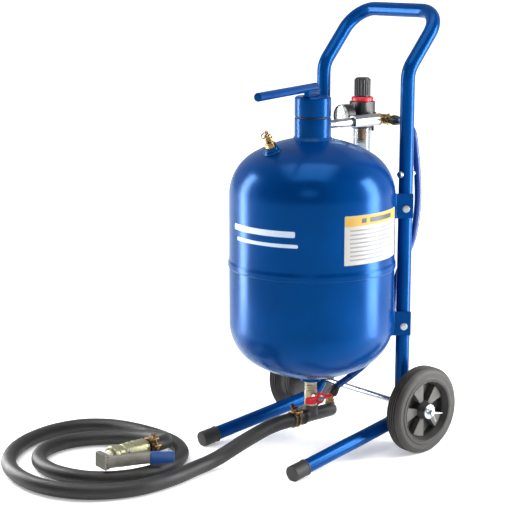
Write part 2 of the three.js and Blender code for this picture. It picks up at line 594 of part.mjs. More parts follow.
// Butterfly handle: a round hub with a broad wing and a slim one.
const wings = new THREE.Shape();
wings.absarc(0, 0, 10.5, 25 * DEG, 155 * DEG);
wings.lineTo(-30, 7);
wings.absarc(-29, 0, 6, 115 * DEG, 245 * DEG);
wings.lineTo(-12, -8.5);
wings.absarc(0, 0, 10.5, 215 * DEG, 335 * DEG);
wings.lineTo(24, -3);
wings.absarc(24, 0, 3, -90 * DEG, 90 * DEG);
wings.holes.push(circle(STEM_R + TOUCH, 12));
add('media_valve_handle', extrude(wings, 2.4, 6).rotateZ(Math.PI / 2).rotateY(Math.PI / 2)
  .translate(VALVE_HANDLE_X, 0, ballZ), ['#c4151c', 0.35]);
add('media_handle_nut', stemAt(cut(
  hexagon(8, VALVE_HANDLE_X + 2.4 + TOUCH, VALVE_HANDLE_X + 7), rod(STEM_R + TOUCH, 0, 60, 10))), ZINC);

const alongY = (geometry, at) => aimed(geometry, [0, 1, 0], at);
const teeBody = join(
  alongY(turned([
    [0, TEE_FRONT], [TEE_R, TEE_FRONT], [TEE_R, TEE_REAR - 7], [TEE_R - 2, TEE_REAR - 2.5],
    [TEE_R - 6, TEE_REAR], [0, TEE_REAR],
  ], 16), [0, 0, TEE_Z]),
  rod(VALVE_R + 1.5, TEE_Z, VALVE_BOTTOM, 16),
  rod(8.5, TEE_Z, 68, 14).translate(0, AIR_PORT_Y, 0));
const hoseStartY = TEE_FRONT - COLLAR_LENGTH;
const collarRibs = [0, 1, 2].map((i) => alongY(
  rod(HOSE_R + 0.8, i * 2.7, i * 2.7 + 1.7), [0, hoseStartY, TEE_Z]));
const collar = alongY(rod(HOSE_R - 0.6, 0, COLLAR_LENGTH + 1), [0, hoseStartY, TEE_Z]);
add('mixing_tee', cut(join(teeBody, collar, ...collarRibs),
  alongY(rod(TEE_BORE_R, hoseStartY - 1, AIR_PORT_Y + 4, 12), [0, 0, TEE_Z]),
  rod(VALVE_BORE_R, TEE_Z, 80, 12), rod(4, TEE_Z, 80, 10).translate(0, AIR_PORT_Y, 0)),
['#3a3b3c', 0.55, 0.4]);

// ---- air fitting and its hose, from the manifold down behind the tank to the mixing tee ----
const fittingStart = [0, AIR_PORT_Y, 68 + TOUCH];
const hoseDown = new THREE.Vector3(0.26, 0.42, 0.87).normalize();
const elbowPath = new BentLine([
  fittingStart, [0, AIR_PORT_Y, 76],
  new THREE.Vector3(0, AIR_PORT_Y, 76).addScaledVector(hoseDown, 6).toArray(),
], [8], 4);
add('air_elbow', sweep(circle(6.2, 6), elbowPath, elbowPath.steps), BRASS);
const lowerNutStart = elbowPath.getPoint(1).addScaledVector(hoseDown, TOUCH);
const hoseNut = turned([[0, 0], [7.6, 0], [7.6, 9], [6.6, 12], [0, 12]], 10);
const airHoseStart = new THREE.Vector3(AIR_TEE_X[1] + TOUCH + 10, AIR_TEE_Y, AIR_Z);
const airHoseEnd = lowerNutStart.clone().addScaledVector(hoseDown, 10);
const airHosePath = new THREE.CatmullRomCurve3([
  airHoseStart, new THREE.Vector3(54, 165, 555.5), new THREE.Vector3(73, 164, 541),
  new THREE.Vector3(85, 160, 508), new THREE.Vector3(94, 157, 460), new THREE.Vector3(96, 156, 415),
  new THREE.Vector3(88, 154, 360), new THREE.Vector3(74, 148, 320), new THREE.Vector3(63, 143, 285),
  new THREE.Vector3(58, 141, 245), new THREE.Vector3(54, 138, 200), new THREE.Vector3(45, 125, 162),
  new THREE.Vector3(32, 101, 134), new THREE.Vector3(17, 74, 110),
  airHoseEnd.clone().addScaledVector(hoseDown, 5), airHoseEnd,
], false, 'centripetal');
add('air_hose', join(sweep(circle(AIR_HOSE_R, 8), airHosePath, 36),
  aimed(hoseNut.clone(), hoseDown.toArray(), lowerNutStart.toArray()),
  aimed(hoseNut, [1, 0, 0], [AIR_TEE_X[1] + TOUCH, AIR_TEE_Y, AIR_Z])), ['#0f4fb0', 0.3]);

// ---- manifold from the neck to the regulator ----
const fromNeck = (geometry) => alongY(geometry, [0, 0, AIR_Z]);
add('manifold_nipple', fromNeck(pipe(NIPPLE_R, NIPPLE_BORE_R, NECK_BORE_R + 1, SLEEVE_Y[0] + 12, 14)), ZINC);
add('manifold_sleeve', fromNeck(turned([
  [NIPPLE_R + TOUCH, SLEEVE_Y[0]], [SLEEVE_R - 1, SLEEVE_Y[0]], [SLEEVE_R, SLEEVE_Y[0] + 1.5],
  [SLEEVE_R, SLEEVE_Y[1] - 1.5], [SLEEVE_R - 1, SLEEVE_Y[1]], [NIPPLE_R + TOUCH, SLEEVE_Y[1]],
], 16)), ZINC);
const teeRun = (r, x0, x1) => aimed(rod(r, x0, x1, 14), [1, 0, 0], [0, AIR_TEE_Y, AIR_Z]);
const hexRun = (flats, x0, x1) => aimed(hexagon(flats, x0, x1), [1, 0, 0], [0, AIR_TEE_Y, AIR_Z]);
add('manifold_tee', cut(
  join(teeRun(AIR_TEE_R, -14, 14), hexRun(19, -20, -12), hexRun(19, 12, AIR_TEE_X[1]),
    teeRun(PORT_R - TOUCH, AIR_TEE_X[0] - 6, -18),
    fromNeck(rod(NIPPLE_R, SLEEVE_Y[1] - 12, AIR_TEE_Y, 14)),
    fromNeck(rod(SLEEVE_R, SLEEVE_Y[1] + TOUCH, SLEEVE_Y[1] + 5, 14))),
  teeRun(4, AIR_TEE_X[0] - 9, AIR_TEE_X[1] - 4), fromNeck(rod(4, SLEEVE_Y[1] - 15, AIR_TEE_Y, 10))), BRASS);

// ---- filter regulator ----
const atReg = (geometry) => geometry.translate(REG_X, AIR_TEE_Y, 0);
const half = REG_SIZE / 2;
const regCore = join(
  extrude(roundedBox(REG_SIZE, REG_SIZE, 15), REG_TOP - REG_BOTTOM, 4).translate(0, 0, REG_BOTTOM),
  rod(REG_COLLAR_R, REG_BOTTOM - REG_COLLAR_H, REG_BOTTOM + 1, 18),
  rod(12, REG_TOP - 1, REG_TOP + RING_H, 14),
  rod(5, REG_TOP, REG_TOP + RING_H + 14, 10));
const portX = aimed(rod(PORT_R, -REG_SIZE, REG_SIZE, 12), [1, 0, 0], [0, 0, AIR_Z]);
add('regulator_body', atReg(cut(regCore, portX,
  aimed(rod(5 + TOUCH, 0, REG_SIZE, 10), [0, -1, 0], [0, 0, GAUGE_Z]),
  rod(BOWL_R + TOUCH, REG_BOTTOM - REG_COLLAR_H - 1, REG_BOTTOM - 2, 18))), BLACK_PLASTIC);
add('regulator_ring', atReg(pipe(RING_R, 12 + TOUCH, REG_TOP + TOUCH, REG_TOP + RING_H, 20)), ['#d01f30', 0.35]);
const knobZ = REG_TOP + RING_H + TOUCH;
const knobOutline = new THREE.Shape(Array.from({ length: 4 * KNOB_RIBS }, (_, i) => {
  const r = i % 4 < 2 ? KNOB_R : KNOB_R - 1;
  const a = (2 * Math.PI * (i + 0.5)) / (4 * KNOB_RIBS);
  return new THREE.Vector2(r * Math.cos(a), r * Math.sin(a));
}));
const knobSolid = keep(
  extrude(knobOutline, KNOB_H).translate(0, 0, knobZ),
  turned([[0, knobZ], [KNOB_R - 1.5, knobZ], [KNOB_R + 1, knobZ + 4], [KNOB_R + 1, knobZ + KNOB_H - 4],
    [KNOB_R - 3, knobZ + KNOB_H], [0, knobZ + KNOB_H]], 18));
add('regulator_knob', atReg(cut(knobSolid,
  rod(5 + TOUCH, knobZ - 1, REG_TOP + RING_H + 14 + KNOB_LIFT_GAP, 12))), BLACK_PLASTIC);
add('filter_bowl', atReg(turned([
  [3, BOWL_BOTTOM], [BOWL_R - 5, BOWL_BOTTOM], [BOWL_R, BOWL_BOTTOM + 8], [BOWL_R, REG_BOTTOM - 2 - TOUCH],
  [BOWL_R - BOWL_WALL, REG_BOTTOM - 2 - TOUCH], [BOWL_R - BOWL_WALL, BOWL_BOTTOM + 10],
  [BOWL_R - 6, BOWL_BOTTOM + BOWL_WALL], [3, BOWL_BOTTOM + BOWL_WALL],
], 18)), ['#e8eef0', 0.1]);
add('filter_element', atReg(turned([
  [0, 515], [7, 515], [7, 538], [4, 538], [4, REG_BOTTOM - 2 - TOUCH], [0, REG_BOTTOM - 2 - TOUCH]], 14)),
['#b8763a', 0.7, 0.5]);
add('bowl_drain', atReg(turned([
  [0, BOWL_BOTTOM - 10], [4, BOWL_BOTTOM - 10], [4, BOWL_BOTTOM - 3], [2.7, BOWL_BOTTOM - 3],
  [2.7, BOWL_BOTTOM + 5], [0, BOWL_BOTTOM + 5]], 12)), BRASS);
add('inlet_plug', aimed(turned([
  [2.5, half + TOUCH - 8], [PORT_R - TOUCH, half + TOUCH - 8], [PORT_R - TOUCH, half + TOUCH],
  [8, half + TOUCH], [8, half + 9], [5.5, half + 10], [5.5, half + 18], [4.4, half + 20],
  [4.4, half + 24], [6, half + 25], [6, half + 29], [4.6, half + 34], [2.5, half + 34],
], 14), [-1, 0, 0], [REG_X, AIR_TEE_Y, AIR_Z]), ZINC);

// ---- pressure gauge ----
const atGauge = (geometry) => aimed(geometry, [0, 1, 0], [REG_X, 0, GAUGE_Z]);
const gaugeBack = GAUGE_FRONT + GAUGE_DEPTH;
const regFace = AIR_TEE_Y - half;
add('gauge_case', atGauge(turned([
  [0, GAUGE_FRONT + 6], [GAUGE_R - 1.2, GAUGE_FRONT + 6], [GAUGE_R - 1.2, GAUGE_FRONT],
  [GAUGE_R, GAUGE_FRONT], [GAUGE_R, gaugeBack - 3], [GAUGE_R - 3, gaugeBack], [5, gaugeBack],
  [5, regFace + 8], [0, regFace + 8]], 24)), BLACK_PLASTIC);
add('gauge_dial', atGauge(pipe(GAUGE_R - 1.6, 1.2, GAUGE_FRONT + 4.5, GAUGE_FRONT + 5.7, 24)), ['#f2f1ea', 0.5]);
const pointer = join(rod(2.4, GAUGE_FRONT + 3, GAUGE_FRONT + 4, 10), rod(0.9, GAUGE_FRONT + 3.5, GAUGE_FRONT + 5.5, 8),
  extrude(new THREE.Shape([[-1, -4], [1, -4], [0.3, 14], [-0.3, 14]].map(([x, y]) => new THREE.Vector2(x, y))), 0.8)
    .translate(0, 0, GAUGE_FRONT + 3.1));
add('gauge_pointer', atGauge(pointer.rotateZ(GAUGE_ZERO * DEG)), BLACK_PLASTIC);
add('gauge_lens', atGauge(rod(GAUGE_R - 1.5, GAUGE_FRONT + 0.6, GAUGE_FRONT + 1.8, 24)), ['#ffffff', 0.05]);

// ---- blast hose ----
const hoseEnd = new THREE.Vector3(GUN_AT[0], GUN_AT[1] + GUN_TAIL + TOUCH, GUN_AT[2]);
const FLOOR = HOSE_R + TOUCH;
const hoseRoute = [
  [0, hoseStartY - TOUCH, TEE_Z], [0, -50, TEE_Z], [-1, -76, 53], [-3, -100, 49], [-4, -124, 43],
  [-6, -148, 35.5], [-8, -172, 27], [-10, -196, 19], [-10, -222, 14], [-6, -252, FLOOR],
  [3, -290, FLOOR], [8, -335, FLOOR], [5, -378, FLOOR], [-12, -420, FLOOR], [-45, -458, FLOOR],
  [-90, -482, FLOOR], [-142, -490, FLOOR], [-195, -482, FLOOR], [-243, -459, FLOOR],
  [-283, -420, FLOOR], [-310, -372, FLOOR], [-322, -318, FLOOR], [-313, -264, FLOOR],
  [-280, -226, FLOOR], [-230, -205, FLOOR], [-175, -196, FLOOR], [-122, -200, FLOOR],
  [-77, -224, FLOOR], [-48, -265, FLOOR], [-38, -315, FLOOR], [-46, -363, FLOOR],
  [-72, -402, FLOOR], [-112, -426, FLOOR], [-160, -434, FLOOR], [-208, -422, FLOOR],
  [-243, -390, FLOOR], [-257, -346, FLOOR], [-248, -300, FLOOR], [-222, -264, 14],
  [-186, -238, 18], [-148, -227, 25], [-113, -233, 32], [-89, -251, 38], [-79, -269, 41],
  [GUN_AT[0], hoseEnd.y + 17, GUN_AT[2]], [GUN_AT[0], hoseEnd.y + 9, GUN_AT[2]], hoseEnd.toArray(),
].map((p) => new THREE.Vector3(...p));
add('blast_hose', sweep(circle(HOSE_R, 8), new THREE.CatmullRomCurve3(hoseRoute, false, 'centripetal'), 66),
  BLACK_RUBBER);

// A hose clamp: two wire rings joined by a cross screw beside the hose.
function hoseClamp() {
  const loop = HOSE_R + CLAMP_WIRE_R + 1.1;
  const wire = (z) => new THREE.TorusGeometry(loop, CLAMP_WIRE_R, 4, 16).translate(0, 0, z);
  const post = (y) => block([HOSE_R + 1, HOSE_R + 9], [y - 1.5, y + 1.5], [-5.5, 5.5]);
  const screw = aimed(rod(2, -11, 9, 10), [0, 1, 0], [HOSE_R + 6, 0, 0]);
  const head = aimed(hexagon(7, -15, -11), [0, 1, 0], [HOSE_R + 6, 0, 0]);
  return join(wire(-4.5), wire(4.5), post(-6), post(6), screw, head);
}
add('hose_clamp_tee', alongY(hoseClamp().rotateZ(115 * DEG), [0, hoseStartY - 16, TEE_Z]), BRASS);

// ---- blast gun: a shut-off body, its nozzle and a lever whose front plate closes the nozzle ----
const gun = new THREE.Group();
gun.position.set(...GUN_AT);
gun.rotation.y = GUN_ROLL * DEG;
blaster.add(gun);
const inGun = (geometry, y = 0) => aimed(geometry, [0, -1, 0], [0, y, 0]);
const pivotHole = rod(2 + TOUCH, -LEVER_H, LEVER_H, 10).translate(...PIVOT, 0);
const LUG_HALF = 5;
const gunBore = inGun(rod(GUN_BORE_R, -GUN_TAIL - 1, GUN_FRONT + 1, 12));
place(gun, 'gun_body', cut(join(
  inGun(turned([
    [0, -GUN_TAIL], [GUN_R - 1.5, -GUN_TAIL], [GUN_R, 1.5 - GUN_TAIL], [GUN_R, GUN_FRONT - 12],
    [GUN_R + 1.5, GUN_FRONT - 9], [GUN_R + 1.5, GUN_FRONT], [0, GUN_FRONT]], 18)),
  block([0, PIVOT[0] + 4], [PIVOT[1] - LUG_HALF, PIVOT[1] + LUG_HALF], [-LUG_HALF, LUG_HALF])),
gunBore, inGun(rod(9 + TOUCH, GUN_FRONT - 14, GUN_FRONT + 1, 14)), pivotHole), ['#c9c5b0', 0.45, 0.5]);
place(gun, 'gun_nozzle', inGun(turned([
  [3, GUN_FRONT - 13], [9, GUN_FRONT - 13], [9, GUN_FRONT + 5], [7, GUN_FRONT + 19], [3, GUN_FRONT + 19]], 14)),
['#f0efe8', 0.4]);
// The lever is a bent strip: its line, closed on itself one thickness further out.
function strip(line, thickness, height) {
  const points = line.map(([x, y]) => new THREE.Vector2(x, y));
  const normals = points.map((p, i) => {
    const back = p.clone().sub(points[Math.max(i - 1, 0)]).normalize();
    const on = points[Math.min(i + 1, points.length - 1)].clone().sub(p).normalize();
    const mean = back.add(on).normalize();
    const stretch = on.lengthSq() > 0 && i > 0 ? 1 / Math.abs(mean.dot(on)) : 1;
    return new THREE.Vector2(mean.y, -mean.x).multiplyScalar(thickness * stretch);
  });
  const outer = points.map((p, i) => p.clone().add(normals[i])).reverse();
  return extrude(new THREE.Shape([...points, ...outer]), height).translate(0, 0, -height / 2);
}
const webX = LEVER_LINE[1][0] + ((PIVOT[1] - LEVER_LINE[1][1]) * (LEVER_LINE[2][0] - LEVER_LINE[1][0]))
  / (LEVER_LINE[2][1] - LEVER_LINE[1][1]);
const ear = (z) => block([PIVOT[0] - 4, webX + 1], [PIVOT[1] - LUG_HALF, PIVOT[1] + LUG_HALF], [z, z + LEVER_T]);
place(gun, 'gun_lever', cut(
  join(strip(LEVER_LINE, LEVER_T, LEVER_H), ear(LUG_HALF + TOUCH), ear(-LUG_HALF - TOUCH - LEVER_T)),
  pivotHole), ['#b9b9b2', 0.4, 0.6]);
place(gun, 'gun_pivot_pin', rod(2, -10, 10, 10).translate(...PIVOT, 0), ZINC);
const gripShape = roundedBox(LEVER_T + 4, LEVER_H + 4, 2);
gripShape.holes.push(roundedBox(LEVER_T + 2 * TOUCH, LEVER_H + 2 * TOUCH, 0.5));
const [knee, leverEnd] = LEVER_LINE.slice(2);
const gripTurn = Math.atan2(leverEnd[0] - knee[0], leverEnd[1] - knee[1]);
place(gun, 'gun_grip', extrude(gripShape, GRIP_LENGTH, 3).rotateX(-Math.PI / 2)
  .translate(LEVER_T / 2, 2 - GRIP_LENGTH, 0).rotateZ(-gripTurn).translate(...leverEnd, 0),
['#0a5fc0', 0.4]);
add('hose_clamp_gun', alongY(hoseClamp().rotateZ(150 * DEG), [GUN_AT[0], hoseEnd.y + 7, GUN_AT[2]]), BRASS);

// The origin is under the middle of everything but the free hose and what hangs on it.
const onHose = /^(blast_hose|gun_.*|hose_clamp_gun)$/;
const footprint = new THREE.Box3();
blaster.updateMatrixWorld(true);
blaster.traverse((o) => {
  if (o.isMesh && !onHose.test(o.name)) footprint.expandByObject(o);
});
blaster.position.y = -(footprint.min.y + footprint.max.y) / 2;

export default blaster;
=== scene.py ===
import math

import bmesh
import bpy
from mathutils import Matrix, Vector


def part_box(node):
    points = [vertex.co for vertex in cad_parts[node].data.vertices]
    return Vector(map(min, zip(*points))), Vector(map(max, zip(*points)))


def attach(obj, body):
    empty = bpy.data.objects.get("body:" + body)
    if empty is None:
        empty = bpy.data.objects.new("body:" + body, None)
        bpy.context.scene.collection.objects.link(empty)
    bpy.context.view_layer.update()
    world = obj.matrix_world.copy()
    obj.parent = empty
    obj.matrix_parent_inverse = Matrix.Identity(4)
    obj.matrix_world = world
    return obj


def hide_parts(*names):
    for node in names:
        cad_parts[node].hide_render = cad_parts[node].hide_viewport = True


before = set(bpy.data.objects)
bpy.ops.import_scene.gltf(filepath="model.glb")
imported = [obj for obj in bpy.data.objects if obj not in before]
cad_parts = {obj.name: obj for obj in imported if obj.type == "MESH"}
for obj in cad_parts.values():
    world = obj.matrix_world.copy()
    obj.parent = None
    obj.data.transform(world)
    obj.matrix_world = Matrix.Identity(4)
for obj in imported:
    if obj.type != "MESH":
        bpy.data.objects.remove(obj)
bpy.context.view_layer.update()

# The pieces are made in millimetres round the tank's axis, with the floor at Z 0, and then
# brought into the frame, which is in metres.
MM = 0.001
neck_low, neck_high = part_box("filler_neck")
AXIS_Y = (neck_low.y + neck_high.y) / 2
TO_FRAME = Matrix.Translation((0, AXIS_Y, 0)) @ Matrix.Scale(MM, 4)
scene = bpy.context.scene

# ---- sizes, in millimetres ----
TANK_R = 140
TANK_WALL = 2.5
SHELL_BOTTOM = 222
SHELL_TOP = 441
HEAD_KNUCKLE = 80
HEAD_CROWN = 198
SEAM_Z = 320
LAP_HEIGHT = 11
LAP_PROUD = 2
NECK_R = 30.6
NECK_BORE_R = 25.5
NECK_TOP = 570
GASKET_T = 2
CAP_Z = NECK_TOP + GASKET_T + 0.6
CAP_TOP = CAP_Z + 33.5
CAP_BAR_R = 7
CAP_BAR_LENGTH = 204
CAP_BAR_BACK = 10
CAP_BAR_TURN = 21
TUBE_R = 12
FRAME_HALF = 101.4
FOOT_HALF = 116.5
UPRIGHT_Y = 120
FOOT_Y = -149
FOOT_CAP_R = 13.6
FOOT_AXIS_Z = 12.0
LEG_REAR_Z = 49
RAIL_BEND_R = 42
RAIL_TOP = 452
HANDLE_KNEE_Z = 647
HANDLE_LEAN = math.radians(40)
HANDLE_SLANT = 124
HANDLE_KNEE_R = 42
HANDLE_CORNER_R = 46
JOINT_BOLT_Z = 475
BRACKET_T = 3
BRACKET_H = 42
BRACKET_Z = (199, 402)
BRACKET_BOLT_RISE = 16
BRACKET_OVERHANG = 12
AXLE_Y = 119
AXLE_Z = 75
AXLE_R = 5
WHEEL_OUT = 165.5
TYRE_W = 32
RIM_R = 53
HUB_END = WHEEL_OUT + 1.5
SPOKES = 5
SPOKE_TURN = 38
RELIEF_AT = (-6.6, -83.2)
RELIEF_TILT = math.radians(22)
BALL_Z = 90
VALVE_R = 11
TEE_Z = 54
TEE_R = 11.5
TEE_FRONT = -15
TEE_REAR = 57
COLLAR_LENGTH = 8
AIR_PORT_Y = 46
AIR_Z = 556
AIR_TEE_Y = 165
REG_X = -50
REG_BOTTOM = 544
REG_TOP = 583
GAUGE_Z = 560
GAUGE_FRONT = 113.5
GAUGE_R = 20
BOWL_R = 15.5
BOWL_BOTTOM = 470
KNOB_Z = REG_TOP + 8.3
HOSE_R = 12.5
AIR_HOSE_R = 6
GUN_AT = Vector((-77, -330, 42))
GUN_ROLL = math.radians(3)
GUN_R = 15
GUN_TAIL = 34
GUN_FRONT = 40
GUN_PIVOT = (21, -16)

# ---- camera ----
camera = bpy.data.cameras.new("camera")
camera.lens = 105.07
camera.sensor_width = 36
camera.sensor_fit = "HORIZONTAL"
camera_object = bpy.data.objects.new("camera", camera)
scene.collection.objects.link(camera_object)
CAMERA_HEADING = math.radians(49.2)
CAMERA_DIP = math.radians(11.81)
sight = Vector((
    -math.sin(CAMERA_HEADING) * math.cos(CAMERA_DIP),
    math.cos(CAMERA_HEADING) * math.cos(CAMERA_DIP),
    -math.sin(CAMERA_DIP),
))
camera_object.matrix_world = (
    Matrix.Translation(TO_FRAME @ Vector((1830.0, -1701.1, 849.1)))
    @ sight.to_track_quat("-Z", "Y").to_matrix().to_4x4()
)
scene.camera = camera_object


# ---- materials ----
def linear(hex_colour, alpha=1.0):
    """An sRGB hex colour as the linear values that a shader takes."""
    parts = [int(hex_colour[i:i + 2], 16) / 255 for i in (1, 3, 5)]
    return (*[p / 12.92 if p <= 0.04045 else ((p + 0.055) / 1.055) ** 2.4 for p in parts], alpha)


def add(tree, kind, inputs=None, **settings):
    """Adds a node, sets it up, and links or sets its inputs."""
    made = tree.nodes.new(kind)
    for key, value in settings.items():
        setattr(made, key, value)
    for socket, value in (inputs or {}).items():
        if isinstance(value, bpy.types.NodeSocket):
            tree.links.new(value, made.inputs[socket])
        else:
            made.inputs[socket].default_value = value
    return made


def start(name, colour, **shader_values):
    """A material with one principled shader: (material, its tree, the shader, object coordinates)."""
    made = bpy.data.materials.new(name)
    made.use_nodes = True
    tree = made.node_tree
    shader = tree.nodes["Principled BSDF"]
    shader.inputs["Base Color"].default_value = linear(colour)
    for socket, value in shader_values.items():
        shader.inputs[socket.replace("_", " ")].default_value = value
    place = add(tree, "ShaderNodeTexCoord").outputs["Object"]
    return made, tree, shader, place


def cells(size_mm):
    """How many pattern cells of this size fit in a metre."""
    return 1000 / size_mm


def dressed(tree, shader, tint=None, gloss=None, relief=None):
    """Lets patterns drive a shader: its colour, between two (place, colour) stops; its roughness,
    as (pattern, from, to) pairs; and its relief, as (height, strength, depth in metres)."""
    if tint:
        pattern, *stops = tint
        ramp = add(tree, "ShaderNodeValToRGB", {"Fac": pattern})
        for element, (position, colour) in zip(ramp.color_ramp.elements, stops):
            element.position = position
            element.color = linear(colour)
        tree.links.new(ramp.outputs["Color"], shader.inputs["Base Color"])
    if gloss:
        pattern, (low, high), (smooth, rough) = gloss
        spread = add(tree, "ShaderNodeMapRange", {
            "Value": pattern, "From Min": low, "From Max": high, "To Min": smooth, "To Max": rough})
        tree.links.new(spread.outputs["Result"], shader.inputs["Roughness"])
    if relief:
        height, strength, depth = relief
        bump = add(tree, "ShaderNodeBump", {"Height": height, "Strength": strength, "Distance": depth})
        tree.links.new(bump.outputs["Normal"], shader.inputs["Normal"])


def powder_coat():
    """Gloss powder coat with a fine metallic blue pigment, on steel: a deep even blue whose
    reflections are blue too, the faint ripple that melted powder leaves, and a thin dulling where
    hands and dust reach."""
    made, tree, shader, place = start("powder_coated_steel_blue", "#003674", Metallic=0.22,
                                      Specular_IOR_Level=0.22, Specular_Tint=(0.16, 0.72, 1.0, 1.0))
    cloud = add(tree, "ShaderNodeTexNoise", {"Vector": place, "Scale": cells(60), "Detail": 4})
    ripple = add(tree, "ShaderNodeTexNoise", {"Vector": place, "Scale": cells(3.5), "Detail": 2})
    fine = add(tree, "ShaderNodeTexNoise", {"Vector": place, "Scale": cells(1.1), "Detail": 1})
    both = add(tree, "ShaderNodeMath", {0: ripple.outputs["Fac"], 1: fine.outputs["Fac"]},
               operation="ADD")
    dressed(tree, shader, (cloud.outputs["Fac"], (0.3, "#003370"), (0.75, "#003b7e")),
            (cloud.outputs["Fac"], (0.35, 0.7), (0.2, 0.27)), (both.outputs["Value"], 0.16, 0.0004))
    return made


def weld_under_paint():
    """A weld bead under the same powder coat: overlapping ripples, a little rougher than the sheet."""
    made, tree, shader, place = start("powder_coated_weld_blue", "#003c79", Roughness=0.3,
                                      Specular_IOR_Level=0.3, Specular_Tint=(0.22, 0.72, 1.0, 1.0))
    scales = add(tree, "ShaderNodeTexVoronoi", {
        "Vector": place, "Scale": cells(2.4), "Smoothness": 0.6}, feature="SMOOTH_F1")
    dressed(tree, shader, relief=(scales.outputs["Distance"], 0.7, 0.0006))
    return made


def cured_hose_rubber():
    """Black natural rubber hose cover, cured under a wound cloth: the cloth's fine print, a faint
    spiral where its edges lapped, and grey dust that settles on the rubber."""
    made, tree, shader, place = start("cloth_cured_rubber_black", "#1c1a1a", Roughness=0.5)
    laps_a_metre = 1 / 0.055
    along = add(tree, "ShaderNodeAttribute", attribute_name="along").outputs["Fac"]
    around = add(tree, "ShaderNodeAttribute", attribute_name="around").outputs["Fac"]
    lap = add(tree, "ShaderNodeMath", {0: along, 1: laps_a_metre, 2: around}, operation="MULTIPLY_ADD")
    edge = add(tree, "ShaderNodeMath", {0: lap.outputs["Value"], 1: 0.5}, operation="PINGPONG")
    step = add(tree, "ShaderNodeMapRange", {"Value": edge.outputs["Value"], "From Min": 0.0,
        "From Max": 0.03, "To Min": 0.0, "To Max": 1.0}, interpolation_type="SMOOTHSTEP")
    weave = add(tree, "ShaderNodeTexNoise", {
        "Vector": place, "Scale": cells(1.2), "Detail": 3, "Roughness": 0.7})
    height = add(tree, "ShaderNodeMath", {0: weave.outputs["Fac"], 1: 0.45, 2: step.outputs["Result"]},
                 operation="MULTIPLY_ADD")
    dust = add(tree, "ShaderNodeTexNoise", {
        "Vector": place, "Scale": cells(45), "Detail": 6, "Roughness": 0.65})
    dressed(tree, shader, (dust.outputs["Fac"], (0.35, "#191818"), (0.8, "#282624")),
            (dust.outputs["Fac"], (0.3, 0.7), (0.46, 0.62)), (height.outputs["Value"], 0.35, 0.0003))
    return made


def moulded_rubber(name, dark, light, grain_mm, roughness):
    """Moulded solid rubber: a matt mould grain, with a paler bloom in soft patches."""
    made, tree, shader, place = start(name, dark, Roughness=roughness)
    bloom = add(tree, "ShaderNodeTexNoise", {
        "Vector": place, "Scale": cells(22), "Detail": 5, "Roughness": 0.6})
    grain = add(tree, "ShaderNodeTexNoise", {"Vector": place, "Scale": cells(grain_mm), "Detail": 3})
    dressed(tree, shader, (bloom.outputs["Fac"], (0.35, dark), (0.75, light)),
            relief=(grain.outputs["Fac"], 0.3, 0.0003))
    return made


def grained_plastic(name, colour, grain_mm, roughness, depth=0.0002, **shader_values):
    """Injection-moulded plastic: the fine spark-eroded grain of its mould breaks up the gloss."""
    made, tree, shader, place = start(name, colour, Roughness=roughness, **shader_values)
    pits = add(tree, "ShaderNodeTexVoronoi", {"Vector": place, "Scale": cells(grain_mm)})
    handled = add(tree, "ShaderNodeTexNoise", {"Vector": place, "Scale": cells(14), "Detail": 3})
    dressed(tree, shader, None, (handled.outputs["Fac"], (0.35, 0.65),
        (roughness * 0.85, roughness * 1.15)), (pits.outputs["Distance"], 0.35, depth))
    return made


def plated_metal(name, first, second, roughness, cloud_mm=9, scratch=(1, 1, 12)):
    """Plated or bare metal: a bright base, clouds of a second tint from the bath or from tarnish,
    and fine lines that follow the way the piece was drawn or turned."""
    made, tree, shader, place = start(name, first, Metallic=1.0, Roughness=roughness)
    clouds = add(tree, "ShaderNodeTexNoise", {"Vector": place, "Scale": cells(cloud_mm), "Detail": 4})
    stretched = add(tree, "ShaderNodeMapping", {"Vector": place, "Scale": scratch})
    lines = add(tree, "ShaderNodeTexNoise", {
        "Vector": stretched.outputs["Vector"], "Scale": cells(2.5), "Detail": 4})
    dressed(tree, shader, (clouds.outputs["Fac"], (0.4, first), (0.7, second)),
            (lines.outputs["Fac"], (0.3, 0.7), (roughness * 0.75, roughness * 1.35)),
            (lines.outputs["Fac"], 0.12, 0.0002))
    return made


def cast_surface(name, dark, light, grain_mm, metallic, roughness, strength=0.5):
    """A cast surface: the sand's or die's grain in relief, darker in its pits."""
    made, tree, shader, place = start(name, dark, Metallic=metallic, Roughness=roughness)
    sand = add(tree, "ShaderNodeTexNoise", {
        "Vector": place, "Scale": cells(grain_mm), "Detail": 5, "Roughness": 0.6})
    dressed(tree, shader, (sand.outputs["Fac"], (0.35, dark), (0.65, light)),
            relief=(sand.outputs["Fac"], strength, 0.0004))
    return made


def clear_polycarbonate(name, colour, roughness, glint):
    """Clear moulded polycarbonate: glassy, very slightly grey, with the faint flow of the moulding."""
    made, tree, shader, place = start(name, colour, Roughness=roughness, IOR=1.585,
        Transmission_Weight=1.0, Specular_Tint=(glint, glint, glint, 1.0))
    flow = add(tree, "ShaderNodeTexNoise", {"Vector": place, "Scale": cells(18), "Detail": 1})
    dressed(tree, shader, relief=(flow.outputs["Fac"], 0.08, 0.001))
    return made


def printed_film(name, colour, fade, roughness=0.4, **shader_values):
    """Screen-printed vinyl film: flat ink with a trace of fading and a soft sheen."""
    made, tree, shader, place = start(name, colour, Roughness=roughness, **shader_values)
    fading = add(tree, "ShaderNodeTexNoise", {"Vector": place, "Scale": cells(30), "Detail": 3})
    skin = add(tree, "ShaderNodeTexNoise", {"Vector": place, "Scale": cells(2), "Detail": 2})
    dressed(tree, shader, (fading.outputs["Fac"], (0.3, colour), (0.8, fade)),
            relief=(skin.outputs["Fac"], 0.1, 0.0001))
    return made


